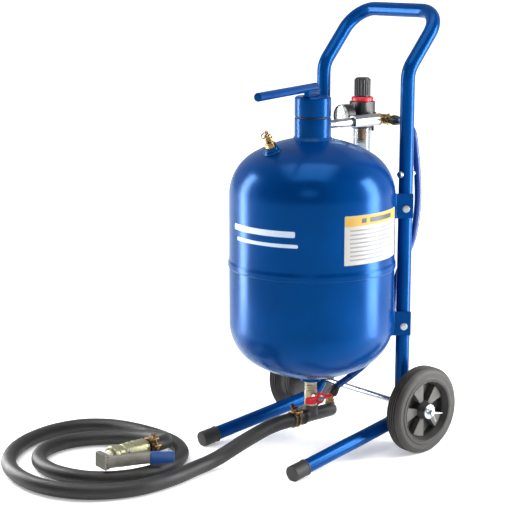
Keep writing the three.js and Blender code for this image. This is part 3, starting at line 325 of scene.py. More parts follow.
MATERIALS = {"blue_paint": powder_coat(), "blue_weld": weld_under_paint(),
    "hose_rubber": cured_hose_rubber(), "tyre_rubber": moulded_rubber("moulded_tyre_rubber", "#201e1d",
    "#2f2c29", 0.9, 0.62), "foot_rubber": moulded_rubber("moulded_foot_rubber", "#171717", "#232222",
    0.8, 0.55), "gasket_rubber": moulded_rubber("cut_nitrile_sheet", "#0c0c0d", "#161617", 0.6, 0.6),
    # The hub and spokes stand for one polypropylene moulding. The hub's near-black is its own dark
    # colour deepened into painted shade for the recess between the spokes. The spokes' lighter grey is a
    # painted highlight.
    "hub_plastic_painted_shade": grained_plastic("polypropylene_hub_painted_shade", "#1c1b1b", 0.9, 0.5),
    "spoke_plastic_painted_highlight": grained_plastic("polypropylene_spokes_painted_highlight", "#4b4946", 1.1, 0.6, 0.0004),
    "black_plastic": grained_plastic("moulded_nylon_black", "#17181a", 0.5, 0.36),
    "knob_plastic": grained_plastic("moulded_acetal_knob", "#1b1c1f", 0.4, 0.42),
    "red_plastic": grained_plastic("moulded_acetal_red", "#d3142c", 0.4, 0.28),
    "red_dip": grained_plastic("dipped_vinyl_red", "#c80f1c", 0.7, 0.3, 0.00015, Coat_Weight=0.3),
    "blue_dip": grained_plastic("dipped_vinyl_blue", "#00448a", 0.8, 0.36, 0.00015, Coat_Weight=0.2),
    "air_hose": grained_plastic("extruded_polyurethane_blue", "#02357c", 0.6, 0.3, 0.0001),
    "zinc": plated_metal("bright_zinc_plated_steel", "#aeb2b5", "#989fa8", 0.3),
    "zinc_rod": plated_metal("bright_zinc_drawn_rod", "#b9bdc0", "#a3abb5", 0.2, 12, (0.1, 1, 1)),
    "yellow_zinc": plated_metal("yellow_zinc_plated_wire", "#9a7a4a", "#775b38", 0.32, 5),
    "brass": plated_metal("turned_brass", "#a0855a", "#806742", 0.28, 7),
    "steel_lever": plated_metal("nickel_plated_pressing", "#a09e94", "#8f8d83", 0.36, 16, (1, 4, 1)),
    "valve_cast": cast_surface("chromated_zinc_casting", "#a69f86", "#c3bca3", 1.6, 0.75, 0.4, 0.25),
    "gun_cast": cast_surface("olive_chromated_aluminium", "#8f8c6c", "#aaa788", 2.2, 0.8, 0.36, 0.2),
    "grey_iron": cast_surface("painted_sand_cast_iron", "#3b3b3b", "#484746", 1.5, 0.1, 0.5),
    "bronze": cast_surface("sintered_bronze_beads", "#a5683c", "#cf9660", 0.9, 0.85, 0.55, 0.9),
    "ceramic": cast_surface("fired_ceramic", "#dedbd0", "#f0eee6", 2.0, 0.0, 0.3, 0.1),
    "clear": clear_polycarbonate("clear_polycarbonate_bowl", "#c3cbd0", 0.08, 0.8),
    "lens": clear_polycarbonate("clear_polycarbonate_lens", "#f2f6f7", 0.02, 0.2),
    "dial": printed_film("printed_dial_white", "#f3f2ec", "#ebe9e0"),
    "film_white": printed_film("printed_vinyl_white", "#afadaa", "#a8a5a1", 0.5,
    Specular_IOR_Level=0.2), "film_yellow": printed_film("printed_vinyl_yellow", "#b8964a", "#ae8c40",
    0.5, Specular_IOR_Level=0.2), "ink_grey": printed_film("screen_ink_grey", "#6d7076", "#85888d",
    0.5), "ink_dark": printed_film("screen_ink_dark", "#2a2b2d", "#3a3b3d", 0.5),
    "ink_pale": printed_film("screen_ink_pale", "#c9d6ea", "#b9c9e2", 0.35),}


# ---- shapes ----
def eased(corners, radius, steps=4, closed=True):
    """An outline with its corners rounded, by less where its sides are short."""
    points = [Vector(c) for c in corners]
    last = len(points) - 1
    rounded = []
    for i, corner in enumerate(points):
        if not closed and i in (0, last):
            rounded.append(corner)
            continue
        before, after = points[i - 1], points[(i + 1) % len(points)]
        reach = min(radius, (before - corner).length * 0.45, (after - corner).length * 0.45)
        a = corner + (before - corner).normalized() * reach
        b = corner + (after - corner).normalized() * reach
        for k in range(steps + 1):
            t = k / steps
            rounded.append(a * (1 - t) ** 2 + corner * 2 * t * (1 - t) + b * t ** 2)
    return rounded


def tidied(bm):
    """The same mesh with doubled points merged and its faces turned outwards."""
    bmesh.ops.remove_doubles(bm, verts=bm.verts, dist=1e-3)
    bmesh.ops.recalc_face_normals(bm, faces=bm.faces)
    return bm


def turned(outline, steps=64):
    """A body turned about Z from an outline of (radius, height)."""
    bm = bmesh.new()
    verts = [bm.verts.new((r, 0, h)) for r, h in outline]
    edges = [bm.edges.new(pair) for pair in zip(verts, verts[1:])]
    if outline[0][0] > 1e-6 or outline[-1][0] > 1e-6:
        edges.append(bm.edges.new((verts[-1], verts[0])))
    bmesh.ops.spin(bm, geom=verts + edges, cent=(0, 0, 0), axis=(0, 0, 1), angle=math.tau,
                   steps=steps, use_merge=True)
    return tidied(bm)


def spun(outline, soft, steps=64, corner_steps=4):
    """A turned body with eased corners. An outline that starts on the axis is left open there."""
    return turned(eased(outline, soft, corner_steps, closed=outline[0][0] > 0), steps)


def ring_bead(radius, thickness, height=0.0, steps=64):
    """A round bead bent into a ring about Z."""
    bend = [math.tau * i / 12 for i in range(12)]
    return turned([(radius + thickness * math.cos(a), height + thickness * math.sin(a)) for a in bend],
        steps)


def prism(corners, z0, z1):
    """A plate with this outline, between two heights."""
    bm = bmesh.new()
    face = bm.faces.new([bm.verts.new((x, y, z0)) for x, y in corners])
    grown = bmesh.ops.extrude_face_region(bm, geom=[face])["geom"]
    risen = [g for g in grown if isinstance(g, bmesh.types.BMVert)]
    bmesh.ops.translate(bm, vec=(0, 0, z1 - z0), verts=risen)
    return tidied(bm)


def polar(radius, angle):
    """The flat point at a radius and an angle."""
    return radius * math.cos(angle), radius * math.sin(angle)


def ring_of(count, radius, start_angle=0.0):
    """Points of a regular polygon."""
    return [polar(radius, start_angle + math.tau * i / count) for i in range(count)]


def block(low, high):
    """A box between two corners."""
    return prism([(low[0], low[1]), (high[0], low[1]), (high[0], high[1]), (low[0], high[1])],
                 low[2], high[2])


def frames(line):
    """A frame at each point of a line, whose Z runs along the line and which doesn't twist."""
    ways = [(b - a).normalized() for a, b in zip(line, line[1:])]
    ahead = [ways[0]] + [(a + b).normalized() for a, b in zip(ways, ways[1:])] + [ways[-1]]
    turn = ahead[0].to_track_quat("Z", "Y")
    made = []
    for i, point in enumerate(line):
        if i:
            turn = ahead[i - 1].rotation_difference(ahead[i]) @ turn
        made.append(Matrix.Translation(point) @ turn.to_matrix().to_4x4())
    return made


def swept(line, radii, sides=24):
    """A round bar along a line, closed at both ends. It keeps how far along and around each point is."""
    line = [Vector(p) for p in line]
    if not isinstance(radii, (list, tuple)):
        radii = [radii] * len(line)
    places = frames(line)
    bm = bmesh.new()
    along = bm.verts.layers.float.new("along")
    around = bm.verts.layers.float.new("around")
    ring = bmesh.ops.create_circle(bm, segments=sides, radius=radii[0], matrix=places[0])["verts"]
    for i, v in enumerate(ring):
        v[around] = i / sides
    edges = list({e for v in ring for e in v.link_edges})
    travelled = 0.0
    for k in range(1, len(line)):
        grown = bmesh.ops.extrude_edge_only(bm, edges=edges)["geom"]
        ring = [g for g in grown if isinstance(g, bmesh.types.BMVert)]
        inside = set(ring)
        edges = [g for g in grown if isinstance(g, bmesh.types.BMEdge) and set(g.verts) <= inside]
        size = radii[k] / radii[k - 1]
        bmesh.ops.transform(bm, verts=ring, matrix=places[k] @ Matrix.Diagonal((size, size, 1, 1))
                            @ places[k - 1].inverted())
        travelled += (line[k] - line[k - 1]).length * MM
        for v in ring:
            v[along] = travelled
    bmesh.ops.holes_fill(bm, edges=bm.edges, sides=0)
    bmesh.ops.recalc_face_normals(bm, faces=bm.faces)
    return bm


def bent(corners, radii, steps=14):
    """A line of straight runs joined by arcs."""
    points = [Vector(c) for c in corners]
    line = [points[0]]
    for i in range(1, len(points) - 1):
        a = (points[i] - points[i - 1]).normalized()
        b = (points[i + 1] - points[i]).normalized()
        turn = a.angle(b)
        begin = points[i] - a * radii[i - 1] * math.tan(turn / 2)
        axis = a.cross(b).normalized()
        centre = begin + axis.cross(a) * radii[i - 1]
        line += [Matrix.Rotation(turn * k / steps, 3, axis) @ (begin - centre) + centre
                 for k in range(steps + 1)]
    line.append(points[-1])
    return line


def through(points, per_span=8):
    """A smooth line through given points."""
    points = [Vector(p) for p in points]
    ends = [2 * points[0] - points[1], *points, 2 * points[-1] - points[-2]]
    line = []
    for a, b, c, d in zip(ends, ends[1:], ends[2:], ends[3:]):
        t1, t2, t3 = (math.sqrt((q - p).length) for p, q in ((a, b), (b, c), (c, d)))
        leaving = ((b - a) / t1 - (c - a) / (t1 + t2) + (c - b) / t2) * t2
        arriving = ((c - b) / t2 - (d - b) / (t2 + t3) + (d - c) / t3) * t2
        for k in range(per_span):
            s = k / per_span
            line.append((2 * s ** 3 - 3 * s ** 2 + 1) * b + (s ** 3 - 2 * s ** 2 + s) * leaving
                        + (3 * s ** 2 - 2 * s ** 3) * c + (s ** 3 - s ** 2) * arriving)
    return line + [points[-1]]


def joined(*parts):
    """Several meshes in one."""
    whole = bmesh.new()
    for part in parts:
        carrier = bpy.data.meshes.new("carrier")
        part.to_mesh(carrier)
        part.free()
        whole.from_mesh(carrier)
        bpy.data.meshes.remove(carrier)
    return whole


def moved(bm, matrix):
    """The same mesh, carried by a matrix."""
    bmesh.ops.transform(bm, matrix=matrix, verts=bm.verts)
    return bm


def about(angle, axis="Z"):
    """The matrix that turns by an angle about an axis through the origin."""
    return Matrix.Rotation(angle, 4, axis)


def aimed(direction, at=(0, 0, 0)):
    """The matrix that lays +Z along a direction, from a point."""
    return Matrix.Translation(at) @ Vector(direction).to_track_quat("Z", "Y").to_matrix().to_4x4()


def piece(name, bm, material, body="frame", stands_for=(), bevel=0.0, crease=38, softer=0):
    """Puts a finished mesh into the scene on its body, in place of the CAD nodes it stands for."""
    moved(bm, TO_FRAME)
    mesh = bpy.data.meshes.new(name)
    bm.to_mesh(mesh)
    bm.free()
    mesh.polygons.foreach_set("use_smooth", [True] * len(mesh.polygons))
    mesh.set_sharp_from_angle(angle=math.radians(crease))
    mesh.materials.append(MATERIALS[material])
    made = bpy.data.objects.new(name, mesh)
    scene.collection.objects.link(made)
    if bevel:
        edge = made.modifiers.new("eased_edges", "BEVEL")
        edge.width = bevel * MM
        edge.segments = 3
        edge.limit_method = "ANGLE"
        edge.angle_limit = math.radians(crease)
        edge.harden_normals = False
    if softer:
        smooth = made.modifiers.new("softened", "SUBSURF")
        smooth.levels = softer
        smooth.render_levels = softer
    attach(made, body)
    if stands_for:
        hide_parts(*stands_for)
    return made


# ---- blast hose: the free cord, laid on the floor in two turns ----
hose_start_y = TEE_FRONT - COLLAR_LENGTH
FLOOR = HOSE_R + 0.3
hose_end = GUN_AT + Vector((0, GUN_TAIL + 0.3, 0))
HOSE_ROUTE = [
    (0, hose_start_y - 0.3, TEE_Z), (0, -50, TEE_Z), (-1, -76, 53), (-3, -100, 49), (-4, -124, 43),
    (-6, -148, 35.5), (-8, -172, 27), (-10, -196, 19), (-10, -222, 14), (-6, -252, FLOOR),
    (3, -290, FLOOR), (8, -335, FLOOR), (5, -378, FLOOR), (-12, -420, FLOOR), (-45, -458, FLOOR),
    (-90, -482, FLOOR), (-142, -490, FLOOR), (-195, -482, FLOOR), (-243, -459, FLOOR),
    (-283, -420, FLOOR), (-310, -372, FLOOR), (-322, -318, FLOOR), (-313, -264, FLOOR),
    (-280, -226, FLOOR), (-230, -205, FLOOR), (-175, -196, FLOOR), (-122, -200, FLOOR),
    (-77, -224, FLOOR), (-48, -265, FLOOR), (-38, -315, FLOOR), (-46, -363, FLOOR),
    (-72, -402, FLOOR), (-112, -426, FLOOR), (-160, -434, FLOOR), (-208, -422, FLOOR),
    (-243, -390, FLOOR), (-257, -346, FLOOR), (-248, -300, FLOOR), (-222, -264, 14),
    (-186, -238, 18), (-148, -227, 25), (-113, -233, 32), (-89, -251, 38), (-79, -269, 41),
    (hose_end.x, hose_end.y + 17, hose_end.z), (hose_end.x, hose_end.y + 9, hose_end.z), hose_end,
]
hose_line = through(HOSE_ROUTE)
blast_hose = piece("blast_hose_cover", swept(hose_line, HOSE_R, 32), "hose_rubber",
                   stands_for=["blast_hose"])


def hose_clamp():
    """A two-wire clamp about Z: the wires meet at a cross screw with a barrel at each end."""
    parts = [ring_bead(HOSE_R + 1.1, 1.0, z, 56) for z in (-4.5, 4.5)]
    reach = HOSE_R + 6.5
    for y in (-6, 6):
        parts.append(moved(spun([(0, -6.5), (2.6, -6.5), (2.6, 6.5), (0, 6.5)], 0.6, 20),
            Matrix.Translation((reach, y, 0))))
        for z in (-4.5, 4.5):
            parts.append(swept([(HOSE_R + 0.9, y * 0.9, z), (reach - 1, y, z)], 1.0, 12))
    screw = eased([(0, -11), (2, -11), (2, 11), (0, 11)], 0.5, closed=False)
    parts.append(moved(turned(screw, 20), aimed((0, 1, 0), (reach, 0, 0))))
    parts += [moved(ring_bead(2.0, 0.35, -9 + 1.4 * i, 16), aimed((0, 1, 0),
        (reach, 0, 0))) for i in range(14)]
    parts.append(moved(prism(ring_of(6, 4.1), -15, -11), aimed((0, 1, 0), (reach, 0, 0))))
    return joined(*parts)


gun_clamp_at = Vector((GUN_AT.x, hose_end.y + 7, GUN_AT.z))
gun_clamp = piece("gun_hose_clamp", moved(hose_clamp(), aimed((0, 1, 0),
    gun_clamp_at) @ about(math.radians(150))), "yellow_zinc",
    stands_for=["hose_clamp_gun"])
piece("tee_hose_clamp", moved(hose_clamp(), aimed((0, 1, 0), (0, hose_start_y - 16, TEE_Z))
                              @ about(math.radians(115))),
      "yellow_zinc", stands_for=["hose_clamp_tee"])


# ---- gun ----
IN_GUN = Matrix.Translation(GUN_AT) @ about(GUN_ROLL, "Y")
NOZZLE_WAY = IN_GUN @ aimed((0, -1, 0))
gun_outline = eased([(0, -GUN_TAIL), (9, -GUN_TAIL), (12, 1 - GUN_TAIL), (12, 4 - GUN_TAIL),
    (GUN_R - 1, 5 - GUN_TAIL), (GUN_R, 7 - GUN_TAIL), (GUN_R, 16), (GUN_R - 1.2, 17), (GUN_R - 1.2, 20),
    (GUN_R, 21), (GUN_R, 27), (GUN_R + 1.5, 30), (GUN_R + 1.5, GUN_FRONT - 2), (GUN_R - 0.5, GUN_FRONT),
    (0, GUN_FRONT)], 0.8, closed=False)
LUG = 5
gun_body = piece("gun_barrel", joined(
    moved(turned(gun_outline, 96), NOZZLE_WAY),
    moved(block((2, GUN_PIVOT[1] - LUG, -LUG), (GUN_PIVOT[0] + 4, GUN_PIVOT[1] + LUG, LUG)), IN_GUN),
    *[moved(block((-4, y, GUN_R - 1.2), (5, y + 2.4, GUN_R + 0.7)), IN_GUN) for y in (-6, 4)]),
    "gun_cast", stands_for=["gun_body"], bevel=0.5)
gun_rivets = piece("gun_tail_rivets", joined(*[
    moved(spun([(0, 0), (2, 0), (2, 0.6), (0, 1.4)], 0.4, 20),
          IN_GUN @ about(a, "Y") @ Matrix.Translation((0, 26, GUN_R - 0.4)))
    for a in (0.5, 1.3, -0.3)]), "yellow_zinc")
gun_nozzle = piece("gun_nozzle_insert", joined(moved(spun([(3, GUN_FRONT - 4), (10.5, GUN_FRONT - 4),
    (10.5, GUN_FRONT + 3), (9, GUN_FRONT + 5), (9, GUN_FRONT + 8), (7, GUN_FRONT + 18),
    (3, GUN_FRONT + 18)], 0.8, 64), NOZZLE_WAY)), "ceramic", stands_for=["gun_nozzle"])

LEVER_T = 2.5
LEVER_H = 18
LEVER_LINE = [(-5, -62), (20, -62), (40, 2), (60, 42)]


def bent_strip(line, thickness, z0, z1):
    """A strip that follows a bent line, seen from above."""
    points = eased(line, 4, 3, closed=False)
    ways = [(b - a).normalized() for a, b in zip(points, points[1:])]
    ahead = [ways[0]] + [(a + b).normalized() for a, b in zip(ways, ways[1:])] + [ways[-1]]
    outer = [p + Vector((w.y, -w.x)) * thickness for p, w in zip(points, ahead)]
    return prism([*points, *reversed(outer)], z0, z1)


lever_ears = [block((GUN_PIVOT[0] - 4, GUN_PIVOT[1] - LUG, z), (35, GUN_PIVOT[1] + LUG, z + LEVER_T))
              for z in (LUG + 0.3, -LUG - 0.3 - LEVER_T)]
flange_line = [(-4, -62), (18.5, -62), (38, 0), (44, 12)]
lever_flanges = [bent_strip([(x - 5, y + 3) for x, y in flange_line[1:]], 6.5, z, z + 1.6)
                 for z in (LEVER_H / 2 - 1.6, -LEVER_H / 2)]
lever_box = [block((-6, -64.5, z), (21, -55, z + 1.8)) for z in (10.2, -12)]
lever_box.append(block((-6, -64.5, -12), (22.5, -62.3, 12)))
gun_lever = piece("gun_lever_channel", moved(joined(bent_strip(LEVER_LINE, LEVER_T, -LEVER_H / 2,
    LEVER_H / 2), *lever_ears, *lever_flanges, *lever_box), IN_GUN), "steel_lever",
    body="gun_lever", stands_for=["gun_lever"], bevel=0.5)
gun_pin = piece("gun_lever_pin", moved(spun([(0, -10), (2, -10), (2, 9), (3.4, 9), (3.4, 10.4),
    (0, 10.8)], 0.4, 24), IN_GUN @ Matrix.Translation((*GUN_PIVOT, 0))), "zinc",
    stands_for=["gun_pivot_pin"])
grip_turn = math.atan2(20, 40)
grip_outline = eased([(-3.4, -11.5), (3.4, -11.5), (3.4, 11.5), (-3.4, 11.5)], 3, 5)
grip_body = prism(grip_outline, -39, 1)
for v in grip_body.verts:
    if v.co.z > 0:
        v.co.x *= 0.7
        v.co.y *= 0.8
gun_grip = piece("gun_lever_grip", moved(grip_body, IN_GUN @ Matrix.Translation((60, 42,
    0)) @ about(-grip_turn) @ Matrix.Translation((LEVER_T / 2, 1, 0)) @ about(-math.pi / 2, "X")),
    "blue_dip", body="gun_lever", stands_for=["gun_grip"], bevel=1.2)


# ---- tank ----
def head(hole, wall, up, tangent):
    """A dished head's outline from its tangent line in to its hole: a knuckle and then a crown."""
    depth = math.sqrt((HEAD_CROWN - HEAD_KNUCKLE) ** 2 - (TANK_R - HEAD_KNUCKLE) ** 2)
    meet = math.atan2(TANK_R - HEAD_KNUCKLE, depth)
    stop = math.asin(hole / (HEAD_CROWN - wall))
    curve = []
    for i in range(21):
        a = (math.pi / 2 - meet) * i / 20
        r = HEAD_KNUCKLE - wall
        curve.append((TANK_R - HEAD_KNUCKLE + r * math.cos(a), tangent + up * r * math.sin(a)))
    for i in range(1, 13):
        a = meet + (stop - meet) * i / 12
        curve.append(((HEAD_CROWN - wall) * math.sin(a), tangent + up
            * ((HEAD_CROWN - wall) * math.cos(a) - depth)))
    return curve


def tank_radius(z):
    """The tank's outer radius at a height on its side."""
    into = max(z - SHELL_TOP, SHELL_BOTTOM - z, 0)
    return TANK_R - HEAD_KNUCKLE + math.sqrt(HEAD_KNUCKLE ** 2 - into ** 2)


lap_top = SEAM_Z + LAP_HEIGHT
neck_hole = NECK_R + 0.3
lap = eased([(TANK_R + 0.3, SEAM_Z + 0.3), (TANK_R + LAP_PROUD, SEAM_Z + 0.3),
    (TANK_R + LAP_PROUD, lap_top - 3), (TANK_R, lap_top + 1.5), (TANK_R, lap_top + 8)], 1.4, 5,
    closed=False)
upper = [*[tuple(p) for p in lap], *head(neck_hole, 0, 1, SHELL_TOP),
         *reversed(head(neck_hole, TANK_WALL, 1, SHELL_TOP)),
         (TANK_R - TANK_WALL, lap_top + 6), (TANK_R + 0.3, lap_top)]
piece("upper_tank_shell", turned(upper, 180), "blue_paint",
    stands_for=["tank_upper_shell"])
lower = [(TANK_R, lap_top - 0.3), (TANK_R - TANK_WALL, lap_top - 0.3),
         *head(12, TANK_WALL, -1, SHELL_BOTTOM), *reversed(head(12, 0, -1, SHELL_BOTTOM))]
piece("lower_tank_shell", turned(lower, 180), "blue_paint",
    stands_for=["tank_lower_shell"])
piece("tank_seam_weld", ring_bead(TANK_R + 0.4, 1.1, SEAM_Z - 0.2, 180), "blue_weld")

neck_foot = head(NECK_R, 0, 1, SHELL_TOP)[-1][1]
neck_outline = eased([(NECK_BORE_R, neck_foot - 8), (NECK_R, neck_foot - 8), (NECK_R, NECK_TOP),
                      (NECK_BORE_R, NECK_TOP)], 0.8)
piece("neck_tube", turned(neck_outline, 128), "blue_paint", stands_for=["filler_neck"])
piece("neck_weld", spun([(NECK_R - 0.3, neck_foot - 2), (NECK_R + 6, neck_foot - 2.6),
    (NECK_R + 2, neck_foot + 1), (NECK_R - 0.3, neck_foot + 5)], 2.2, 128, 5), "blue_weld")
piece("cap_seal_ring", spun([(NECK_BORE_R + 0.3, NECK_TOP + 0.3), (NECK_R - 1.2, NECK_TOP + 0.3),
    (NECK_R - 1.2, NECK_TOP + 0.3 + GASKET_T), (NECK_BORE_R + 0.3, NECK_TOP + 0.3 + GASKET_T)], 0.4,
    128), "gasket_rubber", body="cap_seal", stands_for=["cap_gasket"])

spigot_r = NECK_BORE_R - 0.7
cap_outline = eased([
    (0, CAP_TOP - 8), (spigot_r - 5, CAP_TOP - 8), (spigot_r - 5, CAP_Z - 9), (spigot_r, CAP_Z - 9),
    (spigot_r, CAP_Z), (NECK_R, CAP_Z), (NECK_R, CAP_TOP - 3), (NECK_R - 3, CAP_TOP), (0, CAP_TOP)],
    1.6, 5, closed=False)
piece("screw_cap", turned(cap_outline, 128), "blue_paint", body="cap",
    stands_for=["filler_cap"])
cap_way = about(math.radians(CAP_BAR_TURN))
lug_top = CAP_TOP + 8.3
bar_z = lug_top + CAP_BAR_R - 1
bar_outline = eased([(0, 0), (CAP_BAR_R, 0), (CAP_BAR_R, CAP_BAR_LENGTH), (0, CAP_BAR_LENGTH)], 0.8,
                    closed=False)
bar_place = aimed((0, -1, 0), (0, CAP_BAR_BACK, bar_z))
cap_lug = prism(eased([(-4.5, -25), (4.5, -25), (4.5, 15), (-4.5, 15)], 1.5), CAP_TOP + 0.3,
    lug_top + 1.5)
piece("cap_bar_tube", moved(joined(moved(turned(bar_outline, 48), bar_place), cap_lug), cap_way),
      "blue_paint", body="cap", stands_for=["cap_handle_bar"], bevel=0.4)
lug_beads = [swept([(x, -25 + 2 * i, z) for i in range(21)], [1.6 + 0.25 * math.sin(2.1 * i)
    for i in range(21)], 12) for x, z in ((-5, CAP_TOP + 1), (5, CAP_TOP + 1), (-4.6, lug_top + 0.6),
    (4.6, lug_top + 0.6))]
piece("cap_bar_welds", moved(joined(*lug_beads), cap_way), "blue_weld", body="cap")

# ---- label and marks on the tank ----
def wrapped(az_low, az_high, z0, z1, proud, corner=2.0):
    """A thin patch laid on the tank's side, between two azimuths in degrees and two heights."""
    width = math.radians(az_high - az_low) * TANK_R
    outline = eased([(0, z0), (width, z0), (width, z1), (0, z1)], corner, 4)
    bm = prism([(x, z) for x, z in outline], 0, proud)
    for i in range(1, 24):
        bmesh.ops.bisect_plane(bm, geom=[*bm.verts, *bm.edges, *bm.faces], dist=1e-5,
                               plane_co=(width * i / 24, 0, 0), plane_no=(1, 0, 0))
    for v in bm.verts:
        a = math.radians(az_low) + v.co.x / TANK_R
        r = TANK_R + 0.05 + v.co.z
        v.co = Vector((r * math.cos(a), r * math.sin(a), v.co.y))
    return tidied(bm)


LABEL = (-21, 35, 345, 426)
LABEL_BAND = (-20.6, 34.6, 408.6, 425.4)
ROW_FROM = -17
ROW_SPAN = 47
ROW_TOP = 403
ROW_H = 2.6
ROW_PITCH = 6.9
ROW_SHARES = (0.86, 0.93, 0.8, 0.9, 0.7, 0.95, 0.84, 0.62)
FILM_T = 0.2
INK_TOP = 0.32
piece("label_panel", wrapped(*LABEL, FILM_T), "film_white")
piece("label_band", wrapped(*LABEL_BAND, INK_TOP, 1.2), "film_yellow")
rows = [wrapped(ROW_FROM, ROW_FROM + ROW_SPAN * share, ROW_TOP - ROW_H - ROW_PITCH * i,
                ROW_TOP - ROW_PITCH * i, INK_TOP, 0.8)
        for i, share in enumerate(ROW_SHARES)]
piece("label_rows", joined(*rows), "ink_grey")
piece("label_heading", joined(wrapped(-1, 24, 413, 420.6, 0.4, 1.5),
    wrapped(-8, -4, 413, 420.6, 0.4, 1.5)), "ink_dark")
piece("front_stripes", joined(wrapped(-108, -54, 392, 402, 0.18, 3),
    wrapped(-104, -52, 375, 381, 0.18, 3)), "ink_pale")

# ---- relief valve ----
relief_r = math.hypot(*RELIEF_AT)
relief_foot = SHELL_TOP + math.sqrt(HEAD_CROWN ** 2 - relief_r ** 2) - math.sqrt(
    (HEAD_CROWN - HEAD_KNUCKLE) ** 2 - (TANK_R - HEAD_KNUCKLE) ** 2)
RELIEF = Matrix.Translation((*RELIEF_AT, relief_foot)) @ about(RELIEF_TILT, "X")
piece("relief_socket", moved(spun([
    (6.8, -5), (13, -5), (13, 4), (11.6, 5), (11.6, 9), (6.8, 9)], 0.9, 64), RELIEF),
    "blue_paint", stands_for=["relief_boss"])
piece("relief_socket_weld", moved(ring_bead(13, 2, 0.6, 64), RELIEF), "blue_weld")
cage = [spun([(0, 5), (6.2, 5), (6.2, 10), (0, 10)], 0.4, 32),
        prism(eased(ring_of(6, 9.2), 0.8), 9.4, 15.6),
        spun([(2.6, 15), (7, 15), (7, 18.2), (2.6, 18.2)], 0.5, 40),
        spun([(2.6, 24), (6.9, 24), (6.9, 26), (5.6, 27.6), (5.6, 31), (2.6, 31)], 0.5, 40)]
cage += [moved(turned([(0, 17.5), (1.5, 17.5), (1.5, 24.5), (0, 24.5)], 12),
               about(math.tau * i / 4) @ Matrix.Translation((5.3, 0, 0))) for i in range(4)]
piece("relief_cage", moved(joined(*cage), RELIEF), "brass",
    stands_for=["relief_valve_body"], bevel=0.25)
coil = [(3.3 * math.cos(0.9 * i), 3.3 * math.sin(0.9 * i), 18 + 0.145 * i) for i in range(42)]
piece("relief_spring", moved(swept(coil, 0.5, 8), RELIEF), "zinc")
eye_ring = moved(ring_bead(2.6, 1.2, 0, 28), Matrix.Translation((0, 0, 35.6)) @ about(math.pi / 2, "Y"))
stem = spun([(0, 14), (2, 14), (2, 31.4), (3.2, 31.8), (3.2, 33.4), (1.6, 34), (0, 34)], 0.3, 24)
piece("relief_pull_stem", moved(joined(stem, eye_ring), RELIEF), "brass",
    body="relief_stem", stands_for=["relief_stem"])
hang = math.radians(25)
ring_place = Matrix.Translation((0, -6.5 * math.cos(hang), 36 - 6.5 * math.sin(hang))) @ about(hang,
    "X")
piece("relief_split_ring", moved(joined(ring_bead(6.5, 0.55, 0.5, 48), ring_bead(6.5, 0.55, -0.5, 48)),
                                 RELIEF @ ring_place), "brass", body="relief_ring",
      stands_for=["relief_pull_ring"])

# ---- frame ----
for side, word in ((-1, "left"), (1, "right")):
    foot = Vector((side * FOOT_HALF, FOOT_Y, FOOT_AXIS_Z))
    rear = Vector((side * FRAME_HALF, UPRIGHT_Y, LEG_REAR_Z))
    leg_way = (rear - foot).normalized()
    line = bent([foot + leg_way * 3.3, rear, (side * FRAME_HALF, UPRIGHT_Y, RAIL_TOP)], [RAIL_BEND_R])
    piece(f"{word}_rail_tube", swept(line, TUBE_R, 48), "blue_paint",
        stands_for=[f"{word}_rail"])
    boot = spun([(0, 0), (FOOT_CAP_R - 0.4, 0), (FOOT_CAP_R, 1.5), (FOOT_CAP_R - 0.3, 29),
        (FOOT_CAP_R + 0.4, 29.6), (FOOT_CAP_R + 0.4, 32), (TUBE_R + 0.3, 32), (TUBE_R + 0.3, 3),
        (0, 3)], 1.1, 64, 4)
    moved(boot, aimed(leg_way, foot))
    cut = bmesh.ops.bisect_plane(boot, geom=[*boot.verts, *boot.edges, *boot.faces],
        plane_co=(0, 0, 0.0), plane_no=(0, 0, -1), clear_outer=True)
    rim = [g for g in cut["geom_cut"] if isinstance(g, bmesh.types.BMEdge)]
    bmesh.ops.holes_fill(boot, edges=rim, sides=0)
    piece(f"{word}_rubber_foot", tidied(boot), "foot_rubber",
        stands_for=[f"{word}_foot_cap"])

handle_top = HANDLE_KNEE_Z + HANDLE_SLANT * math.cos(HANDLE_LEAN)
handle_back = UPRIGHT_Y + HANDLE_SLANT * math.sin(HANDLE_LEAN)
handle_line = bent([
    (-FRAME_HALF, UPRIGHT_Y, RAIL_TOP + 0.3), (-FRAME_HALF, UPRIGHT_Y, HANDLE_KNEE_Z),
    (-FRAME_HALF, handle_back, handle_top), (FRAME_HALF, handle_back, handle_top),
    (FRAME_HALF, UPRIGHT_Y, HANDLE_KNEE_Z), (FRAME_HALF, UPRIGHT_Y, RAIL_TOP + 0.3)],
    [HANDLE_KNEE_R, HANDLE_CORNER_R, HANDLE_CORNER_R, HANDLE_KNEE_R])
piece("handle_tube", swept(handle_line, TUBE_R, 48), "blue_paint",
    stands_for=["handle_loop"])


def bolt(r, flats, head_t, grip):
    """A hexagon bolt along Z with its nut: the head is below grip[0], the nut above grip[1]."""
    wide = flats / math.sqrt(3)
    parts = [prism(eased(ring_of(6, wide), 0.5, 2), grip[0] - head_t, grip[0] - 0.9),
        spun([(0, grip[0] - head_t - 0.5), (wide * 0.8, grip[0] - head_t - 0.5),
        (wide * 0.84, grip[0] - head_t + 0.1), (0, grip[0] - head_t + 0.1)], 0.3, 32),
        spun([(0, grip[0] - 1), (wide * 1.06, grip[0] - 1), (wide * 1.06, grip[0]), (0, grip[0])], 0.3,
        40), turned([(0, grip[0] - 0.5), (r, grip[0] - 0.5), (r, grip[1] + head_t * 1.5),
        (r - 0.6, grip[1] + head_t * 1.6), (0, grip[1] + head_t * 1.6)], 24),
        prism(eased(ring_of(6, wide), 0.5, 2), grip[1] + 1.2, grip[1] + head_t * 1.2),
        spun([(r, grip[1]), (wide * 1.06, grip[1]), (wide * 1.06, grip[1] + 1), (r, grip[1] + 1)], 0.3,
        40)]
    parts += [ring_bead(r, 0.3, grip[1] + head_t * 1.25 + 0.7 * i, 20) for i in range(3)]
    return joined(*parts)


